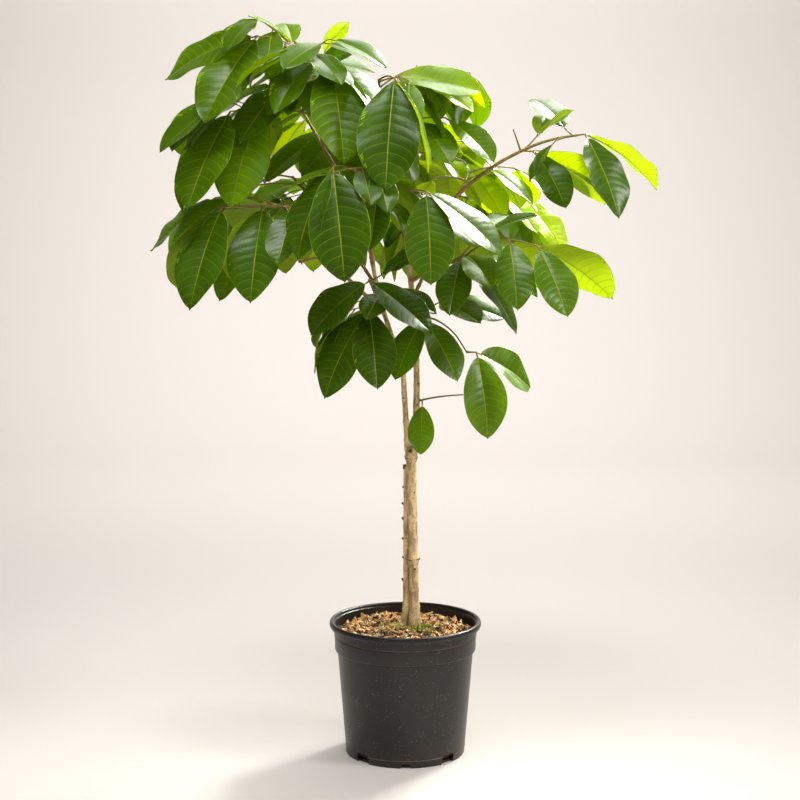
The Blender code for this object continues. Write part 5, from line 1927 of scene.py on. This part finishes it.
# ---------------------------------------------------------------- can and mix
def lathe(name: str, profile: list[tuple[float, float]], sides: int,
          material: bpy.types.Material) -> bpy.types.Object:
    """Turn a profile that starts and ends on the axis about Z.

    Args:
        name: the piece's name.
        profile: radii and heights, down the outer side.
        sides: how many sides it has.
        material: its material.

    Returns:
        The closed piece.
    """
    angles = [math.tau * index / sides for index in range(sides)]
    corners = [(0.0, 0.0, profile[0][1])]
    for radius, height in profile[1:-1]:
        corners.extend((radius * math.cos(angle), radius * math.sin(angle), height) for angle in angles)
    corners.append((0.0, 0.0, profile[-1][1]))
    rings = len(profile) - 2
    last = len(corners) - 1
    faces = []
    for index in range(sides):
        beside = (index + 1) % sides
        faces.append((0, 1 + index, 1 + beside))
        for ring in range(rings - 1):
            near = 1 + ring * sides
            faces.append((near + index, near + sides + index, near + sides + beside, near + beside))
        far = 1 + (rings - 1) * sides
        faces.append((far + index, last, far + beside))
    return mesh_piece(name, corners, faces, [material])


def arc(centre: tuple[float, float], radius: float, start: float, end: float,
        steps: int) -> list[tuple[float, float]]:
    """Points of an arc in the plane of a profile, angles in degrees."""
    angles = [math.radians(start + (end - start) * step / steps) for step in range(steps + 1)]
    return [(centre[0] + radius * math.cos(angle), centre[1] + radius * math.sin(angle)) for angle in angles]


def wall_radius(height: float) -> float:
    """Outer radius of the can's plain wall."""
    top = BAND_RADIUS - BAND_STEP
    return POT_BASE_RADIUS + (top - POT_BASE_RADIUS) * height / (POT_HEIGHT - RIM_HEIGHT - BAND_HEIGHT)


@dataclass
class NurseryCan:
    """The moulded can, with rolled bead, stacking band, moulding seams and drainage notches."""

    SIDES = 192
    SEAM = (0.0135, 0.0005)          # height and rise of the moulding seam
    LEDGE = (0.0055, 0.0022)         # depth below the mouth and breadth of the inner ledge
    STEP_HEIGHT = 0.190              # where the wall steps in under the stacking band
    UNDERCUT = 0.0007                # how deep the grooves under the band and its ridge are
    RIDGE_HEIGHT = 0.2166            # a low ridge round the band
    NOTCH_TAPER = 0.90               # a notch's breadth at its top against its foot
    NOTCH_SIZES = ((0.0175, 0.0075), (0.0300, 0.0165))      # breadths and heights, narrow and wide
    NOTCH_FOOT = -0.004              # the cutter starts this far below the floor
    NOTCH_ROUND = ((0.0002, -0.0012), (-0.0004, -0.0003), (-0.0015, 0.0))     # a notch's upper corner
    FOOT_ROUND = 0.0014
    SHARP = 35.0                     # degrees between faces from which an edge stays crisp
    # the bead's skirt: steps out and up from the rim's edge and the bead's middle
    SKIRT = ((-0.0003, -0.0002), (0.0, -0.0022), (-0.0002, -0.0042), (-0.0013, -0.0056), (-0.0018, -0.0058))
    # the low ridge: steps from the band's face and the ridge's middle
    RIDGE = ((0.0003, 0.0012), (0.0010, 0.0004), (0.0010, -0.0002), (-UNDERCUT, -0.0005),
             (-UNDERCUT, -0.0010), (0.0, -0.0015))

    def profile(self) -> list[tuple[float, float]]:
        """Draw the can's profile, from the middle of its floor round to its underside.

        Returns:
            Radii and heights.
        """
        bead = POT_HEIGHT - RIM_ROLL
        band_foot = POT_HEIGHT - RIM_HEIGHT - BAND_HEIGHT
        inner = BAND_RADIUS - POT_WALL
        line = [(0.0, POT_FLOOR), (wall_radius(POT_FLOOR) - POT_WALL - 0.002, POT_FLOOR),
                (wall_radius(POT_FLOOR) - POT_WALL, POT_FLOOR + 0.002),
                (wall_radius(band_foot) - POT_WALL, band_foot),
                (inner, band_foot + 0.5 * BAND_STEP)]
        ledge = POT_HEIGHT - self.LEDGE[0]
        line += [(inner + 0.0006, ledge - 0.0060), (inner + 0.0009, ledge - 0.0006)]
        line += arc((inner + self.LEDGE[1] + 0.0002, ledge + 0.0002), 0.0006, 200.0, 110.0, 3)
        line.append((POT_RIM_RADIUS - 1.72 * RIM_ROLL, ledge + 0.0012))
        line += arc((POT_RIM_RADIUS - RIM_ROLL, bead), RIM_ROLL, 150.0, 35.0, 8)
        foot = POT_HEIGHT - RIM_HEIGHT
        line += [(POT_RIM_RADIUS + out, bead + up) for out, up in self.SKIRT]
        line.append((POT_RIM_RADIUS - 0.0020, foot + 0.0008))
        line += arc((POT_RIM_RADIUS - 0.0026, foot + 0.0006), 0.0006, 0.0, -90.0, 3)
        line += [(POT_RIM_RADIUS - 0.0042, foot), (POT_RIM_RADIUS - 0.0046, foot + 0.0020),
                 (BAND_RADIUS + 0.0012, foot + 0.0020), (BAND_RADIUS + 0.0008, foot - 0.0004)]
        line += [(BAND_RADIUS + out, self.RIDGE_HEIGHT + up) for out, up in self.RIDGE]
        step = self.STEP_HEIGHT
        inner_step = wall_radius(step)
        line += arc((BAND_RADIUS - 0.0016, step + 0.0008), 0.0008, 0.0, -80.0, 4)
        line += [(inner_step - self.UNDERCUT, step - 0.0001), (inner_step - self.UNDERCUT, step - 0.0012),
                 (wall_radius(step - 0.0017), step - 0.0017)]
        height, rise = self.SEAM
        wall = wall_radius(height)
        line += [(wall_radius(height + 0.0009), height + 0.0009), (wall + rise, height + 0.0003),
                 (wall + rise, height - 0.0003), (wall_radius(height - 0.0009), height - 0.0009)]
        line += arc((POT_BASE_RADIUS - self.FOOT_ROUND, self.FOOT_ROUND), self.FOOT_ROUND, 0.0, -90.0, 4)
        line.append((0.0, 0.0))
        return line

    def cutter(self, index: int) -> bpy.types.Object:
        """Make the tapered block that cuts one drainage notch.

        Args:
            index: the notch's number, even for a narrow one.

        Returns:
            The block.
        """
        wide = index % 2
        bearing = math.radians(-90.0 + 360.0 * index / NOTCH_COUNT)
        breadth, height = self.NOTCH_SIZES[wide]
        half = 0.5 * breadth
        top = half * self.NOTCH_TAPER
        outline = [(-half, self.NOTCH_FOOT), (half, self.NOTCH_FOOT), (half, 0.0)]
        outline += [(top + across, height + up) for across, up in self.NOTCH_ROUND]
        outline += [(-across, up) for across, up in reversed(outline[2:])]
        reach = POT_BASE_RADIUS + NOTCH_REACH
        corners = [(reach + out, across, up) for out in (-NOTCH_DEPTH, NOTCH_DEPTH) for across, up in outline]
        count = len(outline)
        faces = [tuple(range(count)), tuple(range(2 * count - 1, count - 1, -1))]
        faces += [(side, side + count, (side + 1) % count + count, (side + 1) % count)
                  for side in range(count)]
        cutter = mesh_piece(f"notch_cutter_{index}", corners, faces, [])
        cutter.data.transform(Matrix.Rotation(bearing, 4, "Z"))
        build = bmesh.new()
        build.from_mesh(cutter.data)
        bmesh.ops.recalc_face_normals(build, faces=build.faces)
        build.to_mesh(cutter.data)
        build.free()
        return cutter

    def build(self) -> None:
        """Build and dress the can."""
        can = lathe("can_moulding", self.profile(), self.SIDES, MouldedCan().build())
        for index in range(NOTCH_COUNT):
            cutter = self.cutter(index)
            cut = can.modifiers.new("notch", "BOOLEAN")
            cut.object = cutter
            cut.operation = "DIFFERENCE"
            cut.solver = "EXACT"
            mesh = evaluated_mesh(can)
            can.modifiers.clear()
            can.data = mesh
            bpy.data.objects.remove(cutter)
        can.data.shade_smooth()
        can.data.set_sharp_from_angle(angle=math.radians(self.SHARP))
        dress(can, ("pot",))


@dataclass(frozen=True)
class Litter:
    """One kind of loose piece strewn over the mix."""

    name: str
    finish: LooseFill
    size: tuple[float, float, float]      # length, breadth and thickness
    corners: int
    density: float            # per square metre at the centre
    gather: float             # how far from the centre the density falls to a third
    tilt: float               # radians
    sizes: tuple[float, float]
    lift: float
    seed: int
    aside: tuple[float, float] = (0.0, 0.0)      # the thickest place, against the stem's foot


PEAT_BED = LooseFill("damp_peat_bed", "4a2e1a", "2c1b10", 90.0)
LITTERS = (
    Litter("bark_chips_tan", LooseFill("composted_bark_tan", "d9a76c", "b3834f", 120.0),
           (0.0210, 0.0095, 0.0014), 6, 4600.0, 9.0, 0.75, (0.35, 1.20), 0.0028, 1),
    Litter("bark_chips_brown", LooseFill("composted_bark_brown", "a87c50", "785636", 120.0),
           (0.0170, 0.0090, 0.0015), 6, 7000.0, 9.0, 0.80, (0.35, 1.20), 0.0016, 2),
    Litter("bark_chips_dark", LooseFill("composted_bark_dark", "4a3522", "2a1d12", 120.0),
           (0.0170, 0.0085, 0.0018), 6, 8000.0, 9.0, 0.80, (0.35, 1.20), 0.0018, 3),
    Litter("bark_chips_pale", LooseFill("weathered_wood_chips", "ead4aa", "c8ae80", 150.0),
           (0.0130, 0.0050, 0.0012), 5, 3600.0, 9.0, 0.70, (0.35, 1.25), 0.0034, 4),
    Litter("bark_flakes_red", LooseFill("bark_flakes_red", "be864c", "8e6236", 150.0),
           (0.0140, 0.0065, 0.0012), 5, 4600.0, 9.0, 0.90, (0.35, 1.30), 0.0030, 7),
    Litter("straw_fibres", LooseFill("straw_fibres", "c9b07e", "9c8654", 200.0, 0.75),
           (0.0220, 0.0010, 0.0008), 5, 3600.0, 9.0, 0.35, (0.35, 1.20), 0.0036, 5),
    Litter("moss_tufts", LooseFill("cushion_moss", "90942a", "5e641e", 300.0),
           (0.0040, 0.0040, 0.0042), 5, 260000.0, 0.010, 0.60, (0.35, 1.30), 0.0040, 6, (0.004, -0.016)),
    Litter("moss_cushions", LooseFill("pale_cushion_moss", "a4a04a", "70722c", 300.0),
           (0.0040, 0.0040, 0.0038), 5, 120000.0, 0.013, 0.60, (0.35, 1.30), 0.0042, 9, (-0.036, -0.012)),
    Litter("moss_specks", LooseFill("scattered_moss", "948e44", "6a6830", 300.0),
           (0.0040, 0.0026, 0.0018), 5, 9000.0, 0.050, 0.60, (0.35, 1.30), 0.0038, 8, (-0.018, -0.010)),
)


@dataclass
class BarkMix:
    """The bark mix that fills the can: a lumpy bed with chips, straw and moss on it."""

    plant: Plant

    SIDES = 120
    RINGS = 44
    LUMPS = ((38.0, 0.0016), (95.0, 0.0013), (230.0, 0.0008))     # scales per metre and rises
    RAGGED = (0.60, 1.15)            # how far a scrap's corners stand in and out
    SCRAP_LEVELS = ((-0.5, 0.92), (0.1, 1.0), (0.5, 0.90))        # heights in thicknesses, and breadths
    BOWS = (0.10, 0.22)              # how far a scrap's ends rise or fall, in lengths
    ROUGH = 0.15                     # unevenness of its faces, in thicknesses
    BED_MARGIN = 0.010               # litter keeps this far off the wall
    UPWARD = 0.3                     # and lies only on faces that look up at least this much

    def bed(self) -> bpy.types.Object:
        """Make the closed bed with its lumpy top.

        Returns:
            The bed.
        """
        band_foot = POT_HEIGHT - RIM_HEIGHT - BAND_HEIGHT
        inset = POT_WALL + 2.5 * CLEARANCE
        edge = BAND_RADIUS - inset
        notch_top = NurseryCan.NOTCH_SIZES[1][1] + CLEARANCE
        floor = POT_FLOOR + CLEARANCE
        profile = [(0.0, MIX_TOP)]
        for ring in range(1, self.RINGS + 1):
            radius = edge * ring / self.RINGS
            fall = MIX_DISH * min(max((radius - MIX_FLAT) / (edge - MIX_FLAT), 0.0), 1.0) ** 1.5
            profile.append((radius, MIX_TOP - fall))
        profile += [(edge, MIX_TOP - MIX_DISH - 0.004), (edge, band_foot + 0.75 * BAND_STEP),
                    (wall_radius(band_foot) - inset, band_foot + 0.25 * BAND_STEP),
                    (wall_radius(notch_top) - inset, notch_top),
                    (POT_BASE_RADIUS + NOTCH_REACH - NOTCH_DEPTH - 2.0 * POT_WALL, floor), (0.0, floor)]
        bed = lathe("mix_bed", profile, self.SIDES, PEAT_BED.build())
        lowest, widest = MIX_TOP - MIX_DISH - 0.001, edge - 0.0004
        for corner in bed.data.vertices:
            if corner.co.z > lowest and math.hypot(corner.co.x, corner.co.y) < widest:
                for scale, rise in self.LUMPS:
                    corner.co.z += rise * noise.noise(corner.co * scale)
        bed.data.update()
        return bed

    def scrap(self, litter: Litter) -> bpy.types.Object:
        """Make the one loose piece that a kind of litter repeats.

        Args:
            litter: the kind.

        Returns:
            A small closed slab with an uneven outline.
        """
        dice = random.Random(LITTER_SEED + litter.seed)
        length, breadth, thick = litter.size
        angles = sorted(math.tau * (index + dice.uniform(-0.3, 0.3)) / litter.corners
                        for index in range(litter.corners))
        rim = [(0.5 * length * math.cos(angle) * dice.uniform(*self.RAGGED),
                0.5 * breadth * math.sin(angle) * dice.uniform(*self.RAGGED)) for angle in angles]
        bow = dice.choice((-1.0, 1.0)) * dice.uniform(*self.BOWS) * length
        corners = []
        for level, share in self.SCRAP_LEVELS:
            for x, y in rim:
                rise = bow * (2.0 * x / length) ** 2 + dice.uniform(-self.ROUGH, self.ROUGH) * thick
                corners.append((x * share, y * share, level * thick + rise))
        count = litter.corners
        faces = [tuple(range(count - 1, -1, -1)), tuple(range(2 * count, 3 * count))]
        for ring in range(2):
            near = ring * count
            faces += [(near + side, near + (side + 1) % count, near + count + (side + 1) % count,
                       near + count + side) for side in range(count)]
        return mesh_piece("scrap_" + litter.name, corners, faces, [])

    def build(self) -> None:
        """Build and dress the bed and everything strewn on it."""
        bed = self.bed()
        tree = scatter_tree()
        foot = self.plant.tubes["main_stem"].points[0]
        inner = BAND_RADIUS - POT_WALL - self.BED_MARGIN
        for litter in LITTERS:
            scrap = self.scrap(litter)
            ground = new_object("ground", bed.data.copy())
            build = bmesh.new()
            build.from_mesh(ground.data)
            spare = [face for face in build.faces
                     if face.normal.z < self.UPWARD or math.hypot(*face.calc_center_median().xy) > inner]
            bmesh.ops.delete(build, geom=spare, context="FACES")
            build.to_mesh(ground.data)
            build.free()
            strewn = grown_by_nodes(ground, tree, {
                "Piece": scrap, "Density": litter.density,
                "Centre": (foot.x + litter.aside[0], foot.y + litter.aside[1], MIX_TOP),
                "Gather": litter.gather, "Tilt": litter.tilt, "Smallest": litter.sizes[0],
                "Largest": litter.sizes[1], "Lift": litter.lift, "Seed": litter.seed,
                "Material": litter.finish.build()}, litter.name)
            bpy.data.objects.remove(scrap)
            dress(strewn)
        dress(bed, ("potting_mix",))


# ---------------------------------------------------------------- studio
@dataclass(frozen=True)
class SoftLight:
    """A square soft box."""

    name: str
    place: tuple[float, float, float]
    aim: tuple[float, float, float]
    size: float
    power: float
    spread: float             # degrees
    colour: str
    gleams: bool              # whether glossy surfaces mirror it

    def build(self) -> bpy.types.Object:
        """Make the light.

        Returns:
            The light.
        """
        data = bpy.data.lights.new(self.name, "AREA")
        data.shape = "SQUARE"
        data.size = self.size
        data.energy = self.power
        data.spread = math.radians(self.spread)
        data.color = linear(self.colour)[:3]
        data.specular_factor = float(self.gleams)
        light = new_object(self.name, data)
        light.location = self.place
        light.rotation_euler = (Vector(self.aim) - Vector(self.place)).to_track_quat("-Z", "Y").to_euler()
        light.visible_glossy = self.gleams
        return light


LIGHTS = (
    SoftLight("key_box", (3.3, -1.3, 2.6), (0.0, 0.0, 0.8), 1.15, 104.0, 180.0, "fffcf8", True),
    SoftLight("front_box", (0.6, -3.2, 2.7), (0.0, -0.4, 0.7), 1.6, 42.0, 180.0, "fffdfa", False),
    SoftLight("top_box", (0.8, 1.3, 2.9), (0.0, 0.0, 0.9), 1.6, 13.0, 72.0, "fffefc", True),
    SoftLight("rim_box", (1.5, 1.8, 2.5), (0.24, -0.05, 1.02), 0.8, 16.0, 34.0, "fffef6", True),
    SoftLight("sheen_box", (-0.4, -1.0, 3.4), (0.0, 0.0, 0.8), 1.2, 9.0, 70.0, "ffffff", True),
    SoftLight("left_box", (-2.8, -1.4, 2.3), (0.0, 0.3, 0.6), 1.6, 19.0, 180.0, "fefdfc", False),
    SoftLight("backdrop_box", (-0.2, 2.0, 4.7), (0.0, 4.8, 1.4), 3.2, 136.0, 106.0, "fffdfa", False),
    SoftLight("floor_box", (0.0, 2.1, 3.2), (0.0, 1.7, 0.0), 2.2, 21.0, 100.0, "fffdfa", False),
)


@dataclass
class Studio:
    """A seamless warm-white sweep, soft boxes, an even sky and the camera."""

    PAPER = "beb9b5"
    SKY_COLOUR = "fbf7f2"
    SKY_STRENGTH = 0.28
    HALF_BREADTH = 7.0
    FRONT = -6.5
    BACK = 4.8
    BEND = 1.6
    BEND_ANGLES = range(6, 91, 6)
    WALL_TOP = 6.5
    LENS = 85.0
    SENSOR = 36.0
    CAMERA_PLACE = (-0.0096, -3.32, 1.0894)
    CAMERA_PITCH = 82.32

    def sweep(self) -> bpy.types.Object:
        """Make the floor that curves up into the backdrop.

        Returns:
            The sweep.
        """
        material, _, shader = new_material("matt_paper_sweep")
        feed(shader, {"Base Color": self.PAPER, "Roughness": 0.9, "Specular IOR Level": 0.2})
        line = [(self.FRONT, 0.0), (self.BACK - self.BEND, 0.0)]
        line += [(self.BACK - self.BEND + self.BEND * math.sin(math.radians(angle)),
                  self.BEND * (1.0 - math.cos(math.radians(angle)))) for angle in self.BEND_ANGLES]
        line.append((self.BACK, self.WALL_TOP))
        corners = [(side * self.HALF_BREADTH, y, z) for y, z in line for side in (-1.0, 1.0)]
        faces = [(near, near + 1, near + 3, near + 2) for near in range(0, 2 * len(line) - 2, 2)]
        return mesh_piece("paper_sweep", corners, faces, [material])

    def camera(self) -> bpy.types.Object:
        """Make the camera and look through it.

        Returns:
            The camera.
        """
        data = bpy.data.cameras.new("front_camera")
        data.lens = self.LENS
        data.sensor_width = self.SENSOR
        data.clip_end = 50.0
        camera = new_object("front_camera", data)
        camera.location = self.CAMERA_PLACE
        camera.rotation_euler = (math.radians(self.CAMERA_PITCH), 0.0, 0.0)
        bpy.context.scene.camera = camera
        return camera

    def build(self) -> None:
        """Set up the stage."""
        world = bpy.data.worlds.new("even_sky")
        world.use_nodes = True
        feed(world.node_tree.nodes["Background"], {"Color": self.SKY_COLOUR, "Strength": self.SKY_STRENGTH})
        world.cycles_visibility.glossy = False
        bpy.context.scene.world = world
        bpy.context.scene.view_settings.view_transform = "Standard"
        lights = [light.build() for light in LIGHTS]
        self.sweep()
        self.camera()


def main() -> None:
    """Build the dressed plant in order."""
    logging.basicConfig(level=logging.INFO)
    plant = grow_plant()
    LOG.info("%d leaflets grown, %d finer ones",
             *(sum(map(len, kept.values())) for kept in (plant.leaflets, plant.fill_leaflets)))
    NurseryCan().build()
    BarkMix(plant).build()
    skin_tree = limb_skin_tree()
    Branching(plant, skin_tree).build()
    Foliage(plant, skin_tree).build()
    Studio().build()
    bpy.context.view_layer.update()
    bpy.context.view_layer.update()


if __name__ == "__main__":
    main()
